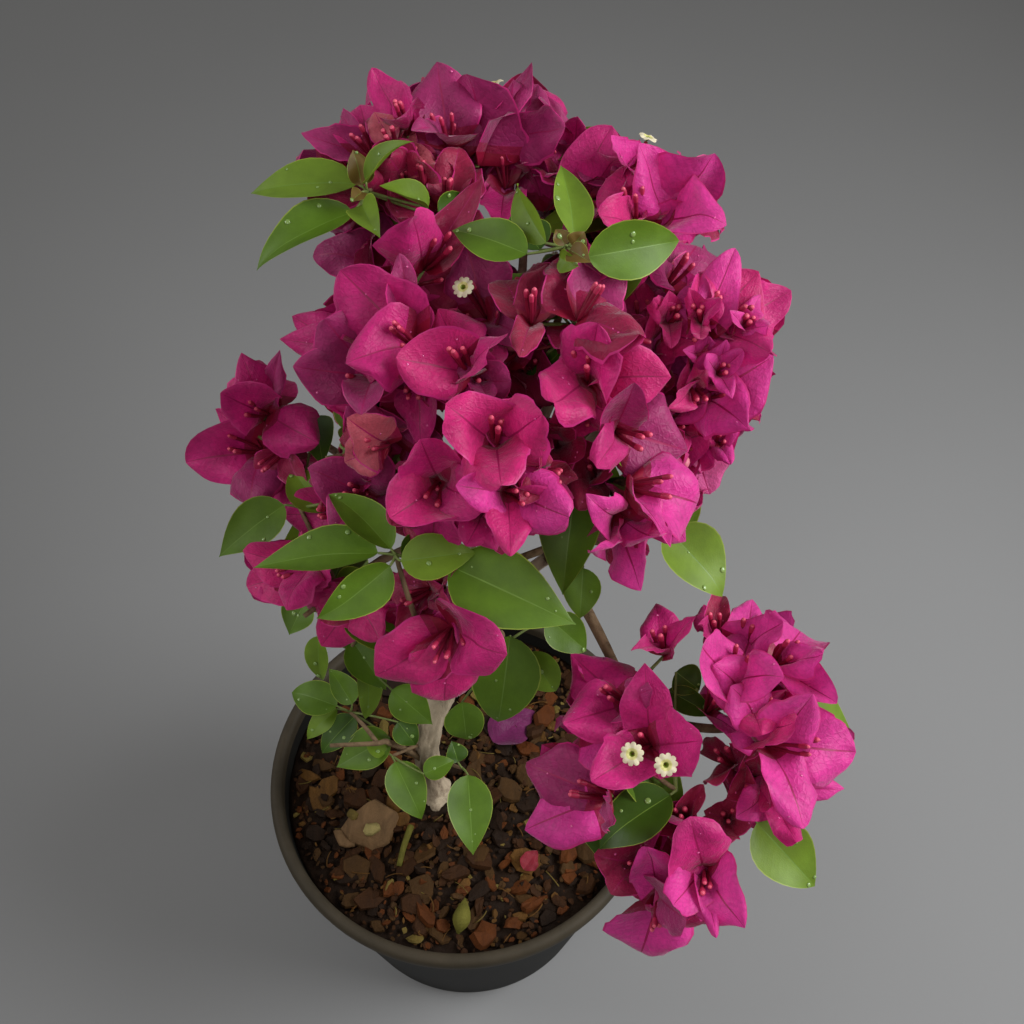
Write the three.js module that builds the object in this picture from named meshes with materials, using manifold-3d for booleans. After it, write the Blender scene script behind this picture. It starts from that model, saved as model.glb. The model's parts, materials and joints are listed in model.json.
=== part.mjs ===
// Potted bougainvillea bush: a small shrub in bloom, in a 22 cm nursery pot.
// Millimetres, +Z up. The origin is the centre of the pot's flat underside,
// and the long arching branch with three clusters leans towards +X and -Y.

import * as THREE from "three";
import { mergeVertices } from "three/addons/utils/BufferGeometryUtils.js";
import Module from "manifold-3d";

const wasm = await Module();
wasm.setup();

// Pot
const POT_HEIGHT = 157;
const RIM_RADIUS = 110;
const FOOT_RADIUS = 80.5;
const WALL = 2.6;
const FLOOR = 3;
const COLLAR_HEIGHT = 13;
const SHOULDER_RADIUS = 105;
const POT_FACETS = 36;

// Potting mix of bark chips
const MIX_TOP = 141;
const MIX_MOUND = 5;
const FOOT_PATCH = 18;
const CHIP_COUNT = 20;
const CHIP_LENGTH = 17;

// Trunk and boughs
const TRUNK_FOOT_RADIUS = 8.6;
const TRUNK_TOP_RADIUS = 5.4;
const TRUNK_SIDES = 10;
const ROOT_FLARE = 4.2;
const FLARE_HEIGHT = 16;
const BOUGH_SIDES = 6;
const TIP_RADIUS = 1.7;
const STATION_STEP = 30;
const APPROACH = 0.4;
const TIP_SHARE = -0.25;

// A mass's stem runs along this stretch of its reach, from behind its centre to before it
const STEM_START = -0.35;
const STEM_END = 0.3;

// Blossom and leaf: length, width and thickness, how far the edges stand above the
// middle, how far the middle stands off the straight line, and how far the tip curls
const BRACT = { length: 30, width: 25, thick: 1, fold: 3, lift: 0.6, curl: -2 };
const LEAF = { length: 43, width: 24, thick: 1, fold: 3, lift: 1.5, curl: -5 };
const TWIG_RADIUS = 1.1;
const STEM_RADIUS = 1.8;
const STEM_SIDES = 5;
const NECK_LENGTH = 3;
const DOME_SPREAD = 1.34;
const LOWEST_LIFT = -0.8;
const BLOSSOM_RISE = 0.25;
const OPENING = 0.85;

// Clearances
const SEAT_GAP = 0.3;
const WALL_GAP = 0.3;
const LIMB_CLEARANCE = 1.6;

const PLASTIC = new THREE.MeshStandardMaterial({ color: 0x3a3634, roughness: 0.62, metalness: 0 });
const BARK_MIX = new THREE.MeshStandardMaterial({ color: 0x4a3021, roughness: 0.95, metalness: 0 });
const WOOD = new THREE.MeshStandardMaterial({ color: 0x8a7460, roughness: 0.85, metalness: 0 });
const BLOOM = new THREE.MeshStandardMaterial({ color: 0xb01e6e, roughness: 0.6, metalness: 0 });
const LEAVES = new THREE.MeshStandardMaterial({ color: 0x4f8a2c, roughness: 0.4, metalness: 0 });

const UP = new THREE.Vector3(0, 0, 1);
const GOLDEN_ANGLE = Math.PI * (3 - Math.sqrt(5));
const vec = (x, y, z) => new THREE.Vector3(x, y, z);

// A repeatable stream of numbers from 0 to 1 for one seed
function draws(seed) {
  let state = seed >>> 0;
  return () => {
    state = (state + 0x6d2b79f5) | 0;
    let mixed = Math.imul(state ^ (state >>> 15), 1 | state);
    mixed = (mixed + Math.imul(mixed ^ (mixed >>> 7), 61 | mixed)) ^ mixed;
    return ((mixed ^ (mixed >>> 14)) >>> 0) / 4294967296;
  };
}

// A closed mesh of corner points and triangles as a solid, faces pointing out
function solidFrom(corners, triangles) {
  let volume = 0;
  for (const [a, b, c] of triangles) {
    volume += corners[a].dot(vec().crossVectors(corners[b], corners[c]));
  }
  const vertProperties = new Float32Array(corners.flatMap((corner) => corner.toArray()));
  const facing = volume > 0 ? triangles : triangles.map(([a, b, c]) => [a, c, b]);
  const triVerts = new Uint32Array(facing.flat());
  return new wasm.Manifold(new wasm.Mesh({ numProp: 3, vertProperties, triVerts }));
}

// A three.js geometry as a solid
function solidOf(geometry) {
  const bare = geometry.clone();
  bare.deleteAttribute("normal");
  bare.deleteAttribute("uv");
  const merged = mergeVertices(bare, 1e-4);
  const vertProperties = new Float32Array(merged.attributes.position.array);
  const triVerts = new Uint32Array(merged.index.array);
  return new wasm.Manifold(new wasm.Mesh({ numProp: 3, vertProperties, triVerts }));
}

// The largest connected body of a solid, without loose scraps or sealed hollows
function mainBody(solid) {
  const bodies = solid.decompose();
  return bodies.reduce((best, body) => (body.volume() > best.volume() ? body : best));
}

// A solid as a named mesh
function meshOf(name, solid, material) {
  const { vertProperties, triVerts } = solid.getMesh();
  const geometry = new THREE.BufferGeometry();
  geometry.setAttribute("position", new THREE.BufferAttribute(vertProperties, 3));
  geometry.setIndex(new THREE.BufferAttribute(triVerts, 1));
  geometry.computeVertexNormals();
  const mesh = new THREE.Mesh(geometry, material);
  mesh.name = name;
  return mesh;
}

// Any direction at right angles to the given one
function sideOf(direction) {
  const helper = Math.abs(direction.z) < 0.9 ? UP : vec(1, 0, 0);
  return vec().crossVectors(helper, direction).normalize();
}

// Rings of corner points square to a path, which turn no more than the path does
function ringsAlong(path, radii, sides) {
  const rings = [];
  let side = null;
  path.forEach((at, station) => {
    const before = path[Math.max(station - 1, 0)];
    const after = path[Math.min(station + 1, path.length - 1)];
    const along = vec().subVectors(after, before).normalize();
    side = side ? side.addScaledVector(along, -side.dot(along)).normalize() : sideOf(along);
    const across = vec().crossVectors(along, side);
    const ring = [];
    for (let corner = 0; corner < sides; corner += 1) {
      const turn = (corner / sides) * 2 * Math.PI;
      const reach = radii[station];
      ring.push(at.clone()
        .addScaledVector(side, reach * Math.cos(turn))
        .addScaledVector(across, reach * Math.sin(turn)));
    }
    rings.push(ring);
    side = side.clone();
  });
  return rings;
}

// A closed skin over rings of equal count, with a flat cap at each end
function skin(rings) {
  const sides = rings[0].length;
  const corners = rings.flat();
  const triangles = [];
  for (let ring = 0; ring < rings.length - 1; ring += 1) {
    for (let corner = 0; corner < sides; corner += 1) {
      const a = ring * sides + corner;
      const b = ring * sides + ((corner + 1) % sides);
      triangles.push([a, b, b + sides], [a, b + sides, a + sides]);
    }
  }
  const last = (rings.length - 1) * sides;
  for (let corner = 1; corner < sides - 1; corner += 1) {
    triangles.push([0, corner + 1, corner], [last, last + corner, last + corner + 1]);
  }
  return solidFrom(corners, triangles);
}

// Pot: an open nursery pot with a rolled collar and a flat floor
function potInnerRadius(height) {
  const share = height / (POT_HEIGHT - COLLAR_HEIGHT);
  return FOOT_RADIUS + (SHOULDER_RADIUS - FOOT_RADIUS) * Math.min(share, 1) - WALL;
}

function makePot() {
  const shoulder = POT_HEIGHT - COLLAR_HEIGHT;
  const profile = [
    [0, 0],
    [FOOT_RADIUS - 2.5, 0],
    [FOOT_RADIUS, 2.5],
    [SHOULDER_RADIUS, shoulder],
    [RIM_RADIUS - 2, shoulder + 1],
    [RIM_RADIUS - 0.5, shoulder + 4],
    [RIM_RADIUS, POT_HEIGHT - 5],
    [RIM_RADIUS - 1.2, POT_HEIGHT - 1.4],
    [RIM_RADIUS - 4, POT_HEIGHT],
    [RIM_RADIUS - 6.8, POT_HEIGHT - 1.4],
    [RIM_RADIUS - 7.6, POT_HEIGHT - 5],
    [potInnerRadius(shoulder), shoulder - 2],
    [potInnerRadius(FLOOR), FLOOR],
    [0, FLOOR],
  ];
  const points = profile.map(([radius, height]) => new THREE.Vector2(radius, height));
  const lathe = new THREE.LatheGeometry(points, POT_FACETS);
  lathe.rotateX(Math.PI / 2);
  return solidOf(lathe);
}

// Potting mix: fills the pot 0.3 mm clear of it, mounded, with a level patch under the trunk
const TRUNK_PATH = [
  vec(-15, -11, MIX_TOP + MIX_MOUND + SEAT_GAP),
  vec(-17, -9, MIX_TOP + MIX_MOUND + FLARE_HEIGHT / 2),
  vec(-18, -6, MIX_TOP + MIX_MOUND + FLARE_HEIGHT * 1.6),
  vec(-18, -2, 195),
  vec(-12, 3, 222),
  vec(-3, 8, 250),
  vec(4, 12, 276),
  vec(7, 15, 296),
];

function makeMix() {
  const foot = TRUNK_PATH[0];
  const random = draws(17);
  const facet = (2 * Math.PI) / POT_FACETS;
  const reaches = [0.3, 0.52, 0.76, 1];
  const rim = potInnerRadius(MIX_TOP) - SEAT_GAP;
  const rings = [];
  const floorRadius = potInnerRadius(FLOOR) - SEAT_GAP * 1.5;
  const ringAt = (radius, heightOf) => {
    const ring = [];
    for (let corner = 0; corner < POT_FACETS; corner += 1) {
      const turn = corner * facet;
      const x = radius * Math.sin(turn);
      const y = -radius * Math.cos(turn);
      ring.push(vec(x, y, heightOf(x, y)));
    }
    return ring;
  };
  rings.push(ringAt(floorRadius, () => FLOOR + SEAT_GAP));
  for (const reach of reaches.slice().reverse()) {
    rings.push(ringAt(rim * reach, (x, y) => {
      const away = Math.hypot(x - foot.x, y - foot.y);
      const settled = Math.min(Math.max((away - FOOT_PATCH) / (rim * 0.7), 0), 1);
      const rough = away < FOOT_PATCH + 8 || reach === 1 ? 0 : (random() - 0.5) * 3;
      return MIX_TOP + MIX_MOUND * (1 - settled) + rough;
    }));
  }
  let mix = skin(rings);
  for (let chip = 0; chip < CHIP_COUNT; chip += 1) {
    const turn = chip * GOLDEN_ANGLE;
    const radius = Math.sqrt((chip + 3) / (CHIP_COUNT + 3)) * (rim - CHIP_LENGTH * 0.75);
    const size = 0.7 + 0.6 * random();
    const slab = new THREE.BoxGeometry(CHIP_LENGTH * size, CHIP_LENGTH * 0.6 * size, 4.5 * size);
    slab.rotateX((random() - 0.5) * 0.9);
    slab.rotateY((random() - 0.5) * 0.9);
    slab.rotateZ(random() * Math.PI);
    const x = radius * Math.cos(turn);
    const y = radius * Math.sin(turn);
    const away = Math.hypot(x - foot.x, y - foot.y);
    if (away < FOOT_PATCH + CHIP_LENGTH * 0.8) continue;
    slab.translate(x, y, MIX_TOP + MIX_MOUND * Math.max(1 - away / rim, 0) + 1);
    mix = mix.add(solidOf(slab));
  }
  return mainBody(mix);
}

// Trunk: tapered and leaning, flared at the roots, cut flat where it meets the mix
function trunkRadius(height) {
  const foot = TRUNK_PATH[0].z;
  const top = TRUNK_PATH[TRUNK_PATH.length - 1].z;
  const share = (height - foot) / (top - foot);
  return TRUNK_FOOT_RADIUS + (TRUNK_TOP_RADIUS - TRUNK_FOOT_RADIUS) * Math.sqrt(share);
}

function makeTrunk(extra = 0) {
  const foot = TRUNK_PATH[0].z;
  const rings = TRUNK_PATH.map((at) => {
    const flare = ROOT_FLARE * Math.exp(-(at.z - foot) / (FLARE_HEIGHT * 0.45));
    const ring = [];
    for (let corner = 0; corner < TRUNK_SIDES; corner += 1) {
      const turn = (corner / TRUNK_SIDES) * 2 * Math.PI;
      const lobe = corner % 2 === 0 ? flare : flare * 0.35;
      const radius = trunkRadius(at.z) + lobe + extra;
      ring.push(vec(at.x + radius * Math.cos(turn), at.y + radius * Math.sin(turn), at.z));
    }
    return ring;
  });
  if (extra > 0) {
    rings[0].forEach((corner) => corner.setZ(corner.z - extra));
    rings[rings.length - 1].forEach((corner) => corner.setZ(corner.z + extra));
  }
  return skin(rings);
}

// Masses: each is a dome of twigs at the end of a bough, and keeps to its own space.
// The heart is the point that the mass's blossoms and leaves face away from, and the seed
// sets how they are dealt out.
const CROWN_HEART = [44, 52, 392];
const ARCH_HEART = [92, -88, 336];
const SKIRT_HEART = [14, 26, 350];
const mass = (name, seed, at, reach, blossoms, leaves, heart = CROWN_HEART) =>
  ({ name, seed, at, reach, blossoms, leaves, heart });
const MASSES = [
  mass("bloom_back_left", 33, [-20, 129, 466], 42, 8, 3),
  mass("bloom_back", 24, [32, 151, 462], 41, 7, 2),
  mass("bloom_back_right", 4, [85, 113, 462], 40, 7, 2),
  mass("bloom_right", 38, [108, 46, 448], 39, 7, 2),
  mass("bloom_centre", 11, [54, 30, 474], 38, 7, 3),
  mass("bloom_front", 26, [20, -13, 455], 37, 7, 2),
  mass("bloom_middle", 9, [18, 24, 462], 30, 5, 0, [18, 24, 392]),
  mass("bloom_front_right", 8, [80, -22, 438], 34, 6, 3),
  mass("bloom_left", 2, [-17, 37, 462], 39, 8, 1),
  mass("bloom_front_left", 29, [-38, 8, 426], 29, 4, 3),
  mass("bloom_side_left", 26, [-84, 50, 392], 34, 6, 3),
  mass("bloom_low_left", 27, [-50, -27, 374], 34, 5, 4),
  mass("bloom_low_front", 34, [0, -53, 388], 29, 5, 3),
  mass("bloom_rear_left", 19, [-8, 136, 398], 38, 6, 4),
  mass("bloom_rear", 4, [58, 156, 406], 38, 6, 4),
  mass("bloom_rear_right", 19, [116, 108, 402], 38, 6, 4),
  mass("bloom_under_right", 31, [104, 44, 384], 34, 5, 4),
  mass("bloom_arch_left", 38, [62, -92, 384], 33, 6, 2, ARCH_HEART),
  mass("bloom_arch_right", 2, [129, -77, 380], 36, 7, 3, ARCH_HEART),
  mass("bloom_arch_low", 4, [95, -130, 349], 31, 6, 2, ARCH_HEART),
  mass("leaves_under_right", 1, [74, 24, 344], 38, 0, 6, SKIRT_HEART),
  mass("leaves_under_rear", 13, [34, 88, 340], 40, 0, 7, SKIRT_HEART),
  mass("leaves_under_left", 3, [-46, -2, 314], 40, 0, 7, SKIRT_HEART),
  mass("leaves_under_front", 25, [26, -32, 318], 40, 0, 7, SKIRT_HEART),
  mass("leaves_low_shoot", 20, [-56, -14, 216], 40, 0, 7, [-18, -4, 200]),
];

// Boughs: each springs from a share of the way up its parent, and its tip enters a mass
// or reaches a bend. The bow says how far its middle stands out from the direct way.
const bough = (name, parent, share, mass, bow, radius) => ({ name, parent, share, mass, bow, radius });
const BOUGHS = [
  bough("bough_back", "trunk", 0.94, "bloom_back", [0, -6, 0], 4.2),
  bough("bough_right", "trunk", 0.98, "bloom_right", [0, 0, 6], 4),
  bough("bough_centre", "trunk", 0.96, "bloom_centre", [-6, -2, 0], 3.8),
  bough("bough_left", "trunk", 0.86, "bloom_left", [-6, 4, 0], 3.6),
  { ...bough("bough_arch_rise", "trunk", 0.9, null, [-2, -10, 22], 3.6), tip: [43, -12, 384] },
  bough("bough_side_left", "trunk", 0.76, "bloom_side_left", [4, 0, 6], 3.4),
  bough("bough_low_front", "trunk", 0.7, "bloom_low_front", [0, 0, 0], 3),
  bough("bough_back_left", "bough_back", 0.5, "bloom_back_left", [-4, 0, 0], 2.6),
  bough("bough_back_right", "bough_right", 0.4, "bloom_back_right", [0, 6, 0], 2.7),
  bough("bough_rear_left", "bough_back", 0.3, "bloom_rear_left", [-4, 2, 0], 2.4),
  bough("bough_rear", "bough_back", 0.4, "bloom_rear", [2, 2, 0], 2.5),
  bough("bough_rear_right", "bough_right", 0.5, "bloom_rear_right", [0, 4, 0], 2.4),
  bough("bough_under_right", "bough_right", 0.34, "bloom_under_right", [0, -4, -4], 2.4),
  bough("bough_front", "bough_centre", 0.42, "bloom_front", [-4, 0, 0], 2.6),
  bough("bough_middle", "bough_left", 0.5, "bloom_middle", [4, 0, 0], 2.2),
  bough("bough_front_right", "bough_right", 0.3, "bloom_front_right", [0, -4, 0], 2.6),
  bough("bough_front_left", "bough_left", 0.45, "bloom_front_left", [-2, 0, 0], 2.4),
  bough("bough_low_left", "bough_side_left", 0.4, "bloom_low_left", [0, 0, 0], 2.4),
  { ...bough("bough_arch_reach", null, 1, "bloom_arch_low", [0, 0, 10], 2.7), follows: "bough_arch_rise" },
  bough("bough_arch_right", "bough_arch_reach", 0.55, "bloom_arch_right", [0, 0, 0], 2),
  bough("bough_arch_left", "bough_arch_reach", 0.45, "bloom_arch_left", [0, 0, 0], 2),
  bough("shoot_under_right", "bough_right", 0.18, "leaves_under_right", [0, 0, -6], 2.2),
  bough("shoot_under_rear", "bough_back", 0.2, "leaves_under_rear", [0, 0, -6], 2.2),
  bough("shoot_under_left", "trunk", 0.62, "leaves_under_left", [0, 0, -4], 2.2),
  bough("shoot_under_front", "trunk", 0.66, "leaves_under_front", [0, 0, -6], 2.2),
  bough("shoot_low", "trunk", 0.3, "leaves_low_shoot", [0, 0, -4], 2.2),
];

const limbs = new Map();

function limbPoint(limb, share) {
  const place = share * (limb.path.length - 1);
  const index = Math.min(Math.floor(place), limb.path.length - 2);
  return limb.path[index].clone().lerp(limb.path[index + 1], place - index);
}

// The way a mass faces, and a point along the stem at its middle, from 0 at its foot to 1
function outwardOf(cluster) {
  return vec(...cluster.at).sub(vec(...cluster.heart)).normalize();
}

function stemPoint(cluster, share) {
  return vec(...cluster.at).addScaledVector(outwardOf(cluster),
    cluster.reach * (STEM_START + (STEM_END - STEM_START) * share));
}

function layOutLimbs() {
  limbs.set("trunk", { path: TRUNK_PATH, radii: TRUNK_PATH.map((at) => trunkRadius(at.z)) });
  for (const one of BOUGHS) {
    const lead = [];
    let start;
    if (one.follows) {
      const before = limbs.get(one.follows);
      lead.push(before.path[before.path.length - 1].clone().addScaledVector(before.aim, SEAT_GAP));
      start = lead[0].clone().addScaledVector(before.aim, before.radii[0] * 1.5);
    } else {
      start = limbPoint(limbs.get(one.parent), one.share);
    }
    const crown = MASSES.find((each) => each.name === one.mass);
    const tip = crown ? stemPoint(crown, TIP_SHARE) : vec(...one.tip);
    const approach = vec().subVectors(tip, start).normalize();
    if (crown) approach.add(outwardOf(crown)).normalize();
    const apart = start.distanceTo(tip);
    const middle = tip.clone().addScaledVector(approach, -apart * APPROACH).add(vec(...one.bow));
    const curve = new THREE.QuadraticBezierCurve3(start, middle, tip);
    const path = [...lead, ...curve.getPoints(Math.max(3, Math.round(apart / STATION_STEP)))];
    const steps = path.length - 1;
    const tipRadius = crown ? TIP_RADIUS : one.radius * 0.75;
    const radii = path.map((_, index) => one.radius + (tipRadius - one.radius) * (index / steps));
    const aim = vec().subVectors(path[steps], path[steps - 1]).normalize();
    limbs.set(one.name, { path, radii, aim, follows: one.follows });
  }
}

function limbSolid(name, extra = 0) {
  if (name === "trunk") return makeTrunk(extra);
  const { path, radii, aim } = limbs.get(name);
  const ends = path.map((at) => at.clone());
  if (extra > 0) ends[ends.length - 1].addScaledVector(aim, extra);
  if (extra > 0) ends[0].addScaledVector(vec().subVectors(path[0], path[1]).normalize(), extra);
  return skin(ringsAlong(ends, radii.map((radius) => radius + extra), BOUGH_SIDES));
}

// Distance from a point to a limb's surface, negative inside it
function limbDistance(point, limb) {
  let nearest = Infinity;
  for (let index = 0; index < limb.path.length - 1; index += 1) {
    const line = new THREE.Line3(limb.path[index], limb.path[index + 1]);
    const share = line.closestPointToPointParameter(point, true);
    const on = line.at(share, vec());
    const radius = limb.radii[index] + (limb.radii[index + 1] - limb.radii[index]) * share;
    nearest = Math.min(nearest, on.distanceTo(point) - radius);
  }
  return nearest;
}

// The flat walls between a mass and its neighbours, each set where the two reaches meet
function wallsAround(cluster) {
  const walls = [];
  const centre = vec(...cluster.at);
  for (const other of MASSES) {
    if (other === cluster) continue;
    const towards = vec(...other.at).sub(centre);
    const apart = towards.length();
    const share = cluster.reach / (cluster.reach + other.reach);
    towards.normalize();
    const limit = towards.dot(centre) + apart * share - WALL_GAP;
    walls.push({ towards, limit });
  }
  return walls;
}

// The corners of a bract or leaf, thin and folded along its middle: its right edge, tip,
// left edge, and the upper and lower side of its middle
function bladeCorners(base, along, face, shape) {
  const side = vec().crossVectors(along, face).normalize();
  const middle = base.clone().addScaledVector(along, shape.length * 0.45).addScaledVector(face, shape.lift);
  const tip = base.clone().addScaledVector(along, shape.length).addScaledVector(face, shape.curl);
  const right = middle.clone().addScaledVector(side, shape.width / 2).addScaledVector(face, shape.fold);
  const left = middle.clone().addScaledVector(side, -shape.width / 2).addScaledVector(face, shape.fold);
  const top = middle.clone().addScaledVector(face, shape.thick / 2);
  const bottom = middle.clone().addScaledVector(face, -shape.thick / 2);
  return [right, tip, left, top, bottom];
}

// Blades on the end of a three-sided twig, as one closed body. A blade joins the twig's end
// between two of its corners, and a side of the end with no blade closes to the crown point.
function sprig(twigFoot, twigEnd, radius, turn, crown, bladeOf) {
  const aim = vec().subVectors(twigEnd, twigFoot).normalize();
  const east = sideOf(aim);
  const north = vec().crossVectors(aim, east);
  const ringAt = (at, reach) => [0, 1, 2].map((corner) => {
    const around = turn + (corner - 0.5) * (2 * Math.PI / 3);
    return at.clone()
      .addScaledVector(east, reach * Math.cos(around))
      .addScaledVector(north, reach * Math.sin(around));
  });
  const corners = [...ringAt(twigFoot, radius), ...ringAt(twigEnd, radius), crown];
  const triangles = [[2, 1, 0]];
  for (let corner = 0; corner < 3; corner += 1) {
    const next = (corner + 1) % 3;
    const from = 3 + corner;
    const to = 3 + next;
    triangles.push([corner, next, to], [corner, to, from]);
    const blade = bladeOf(corner);
    if (!blade) {
      triangles.push([from, to, 6]);
      continue;
    }
    const first = corners.length;
    const [right, tip, left, top, bottom] = [0, 1, 2, 3, 4].map((step) => first + step);
    corners.push(...blade);
    triangles.push([6, from, top], [from, right, top], [right, tip, top]);
    triangles.push([tip, left, top], [left, to, top], [to, 6, top]);
    triangles.push([from, to, bottom], [right, from, bottom], [tip, right, bottom]);
    triangles.push([left, tip, bottom], [to, left, bottom]);
  }
  return { corners, triangles };
}

function boughOf(cluster) {
  return BOUGHS.find((one) => one.mass === cluster.name).name;
}

function makeMass(cluster) {
  const random = draws(cluster.seed);
  const centre = vec(...cluster.at);
  const outward = outwardOf(cluster);
  const east = sideOf(outward);
  const north = vec().crossVectors(outward, east);
  const limb = limbs.get(boughOf(cluster));
  const tip = limb.path[limb.path.length - 1];
  const tipRadius = limb.radii[limb.radii.length - 1];
  const stemFoot = tip.clone().addScaledVector(limb.aim, SEAT_GAP);
  const neck = stemFoot.clone().addScaledVector(limb.aim, NECK_LENGTH);
  const stem = [stemFoot, neck, stemPoint(cluster, 0), stemPoint(cluster, 1)];
  const stemRadii = [tipRadius, tipRadius, STEM_RADIUS, STEM_RADIUS * 0.9];
  const bodies = [skin(ringsAlong(stem, stemRadii, STEM_SIDES))];
  const walls = wallsAround(cluster);

  const insideWalls = (point) => walls.every((wall) => wall.towards.dot(point) < wall.limit);
  const inSpace = (points) => points.every(insideWalls);
  const clearOfLimbs = (points) => points.every((point) => {
    for (const other of limbs.values()) {
      if (limbDistance(point, other) < LIMB_CLEARANCE) return false;
    }
    return true;
  });
  const bladeFits = (base, blade) => {
    const points = [];
    for (let step = 1; step <= 8; step += 1) {
      points.push(base.clone().lerp(blade[1], step / 8));
      points.push(blade[0].clone().lerp(blade[2], step / 8));
    }
    return inSpace(blade) && clearOfLimbs(points);
  };
  // The place on the stem that a twig springs from, the higher the more its tip is lifted
  const twigFootFor = (lift) => stemPoint(cluster, (lift - LOWEST_LIFT) / (1 - LOWEST_LIFT) * 0.98);
  const aimAt = (lift, turn) => {
    const flat = Math.sqrt(Math.max(1 - lift * lift, 0));
    return outward.clone().multiplyScalar(lift)
      .addScaledVector(east, flat * Math.cos(turn))
      .addScaledVector(north, flat * Math.sin(turn));
  };
  const addSprig = (foot, end, radius, turn, crown, bladeOf) => {
    const { corners, triangles } = sprig(foot, end, radius, turn, crown, bladeOf);
    const along = [1, 2, 3, 4, 5, 6].map((step) => foot.clone().lerp(end, step / 6));
    if (!inSpace(corners) || !clearOfLimbs(along)) return false;
    bodies.push(solidFrom(corners, triangles));
    return true;
  };

  // Blossoms stand on a dome, dealt out by a golden spiral, three bracts to each. One that
  // doesn't fit is turned and drawn in, and keeps at least one bract or is left out.
  const domeRadius = cluster.reach - BRACT.length * 0.5;
  const phase = random() * 2 * Math.PI;
  for (let index = 0; index < cluster.blossoms; index += 1) {
    const lift = 1 - DOME_SPREAD * ((index + 0.5) / cluster.blossoms);
    const dome = aimAt(lift, phase + index * GOLDEN_ANGLE);
    const depth = domeRadius * (0.88 + 0.24 * random());
    const roll = random() * 2 * Math.PI;
    const open = OPENING + 0.3 * random();
    const size = 0.92 + 0.16 * random();
    const foot = twigFootFor(lift);
    const aim = dome.clone().addScaledVector(UP, BLOSSOM_RISE).normalize();
    for (let attempt = 0; attempt < 8; attempt += 1) {
      const site = centre.clone().addScaledVector(dome, depth * (1 - 0.09 * Math.floor(attempt / 2)));
      const twigAim = vec().subVectors(site, foot).normalize();
      const twigEast = sideOf(twigAim);
      const twigNorth = vec().crossVectors(twigAim, twigEast);
      const turn = roll + attempt * 0.9;
      const bladeOf = (petal) => {
        const around = turn + petal * (2 * Math.PI / 3);
        const out = twigEast.clone().multiplyScalar(Math.cos(around));
        out.addScaledVector(twigNorth, Math.sin(around));
        out.addScaledVector(aim, -out.dot(aim)).normalize();
        const along = aim.clone().multiplyScalar(Math.cos(open)).addScaledVector(out, Math.sin(open));
        const face = aim.clone().multiplyScalar(Math.sin(open)).addScaledVector(out, -Math.cos(open));
        const shape = { ...BRACT, length: BRACT.length * size, width: BRACT.width * size };
        const blade = bladeCorners(site, along, face, shape);
        return bladeFits(site, blade) ? blade : null;
      };
      const blades = [0, 1, 2].map(bladeOf);
      const bracts = blades.filter((blade) => blade).length;
      if (bracts < (attempt < 6 ? 3 : 1)) continue;
      const crown = site.clone().addScaledVector(aim, 1.2);
      if (addSprig(foot, site, TWIG_RADIUS, turn, crown, (petal) => blades[petal])) break;
    }
  }

  // Leaves spring from twigs of their own under and between the blossoms
  for (let index = 0; index < cluster.leaves; index += 1) {
    const [lowest, highest] = cluster.blossoms > 0 ? [LOWEST_LIFT, 0.35] : [LOWEST_LIFT, 0.9];
    const lift = lowest + (highest - lowest) * ((index + 0.5) / cluster.leaves);
    const drawn = random();
    const shade = random();
    for (let attempt = 0; attempt < 6; attempt += 1) {
      const aim = aimAt(lift, phase + 1 + index * GOLDEN_ANGLE + attempt * 1.05 + drawn * 0.6);
      const root = centre.clone().addScaledVector(aim, cluster.reach * 0.3);
      const along = aim.clone().addScaledVector(UP, -0.15 + 0.3 * shade).normalize();
      const side = sideOf(along);
      const face = vec().crossVectors(along, side).normalize();
      if (face.z < 0) face.negate();
      const blade = bladeCorners(root, along, face, LEAF);
      if (!bladeFits(root, blade)) continue;
      const foot = twigFootFor(lift);
      const twigAim = vec().subVectors(root, foot).normalize();
      const twigEast = sideOf(twigAim);
      const twigNorth = vec().crossVectors(twigAim, twigEast);
      const below = face.clone().negate();
      const turn = Math.atan2(below.dot(twigNorth), below.dot(twigEast));
      const crown = root.clone().addScaledVector(twigAim, 0.6);
      const bladeOf = (corner) => (corner === 0 ? blade : null);
      if (addSprig(foot, root, TWIG_RADIUS * 0.8, turn, crown, bladeOf)) break;
    }
  }
  const joined = bodies.reduce((whole, body) => whole.add(body));
  return mainBody(joined);
}

const plant = new THREE.Group();
plant.add(meshOf("pot", makePot(), PLASTIC));
plant.add(meshOf("potting_mix", makeMix(), BARK_MIX));

layOutLimbs();
const limbSkins = [];
for (const [name, limb] of limbs) {
  let solid = limbSolid(name);
  for (const earlier of limbSkins) {
    if (limb.follows !== earlier.name) solid = solid.subtract(earlier.swollen);
  }
  plant.add(meshOf(name, mainBody(solid), WOOD));
  limbSkins.push({ name, swollen: limbSolid(name, SEAT_GAP) });
}

for (const cluster of MASSES) {
  let solid = makeMass(cluster);
  for (const limb of limbSkins) {
    if (limb.name !== boughOf(cluster)) solid = solid.subtract(limb.swollen);
  }
  const material = cluster.blossoms > 0 ? BLOOM : LEAVES;
  plant.add(meshOf(cluster.name, mainBody(solid), material));
}

export default plant;
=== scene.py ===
import json
import math

import bmesh
import bpy
import numpy as np
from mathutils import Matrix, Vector, noise

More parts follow.
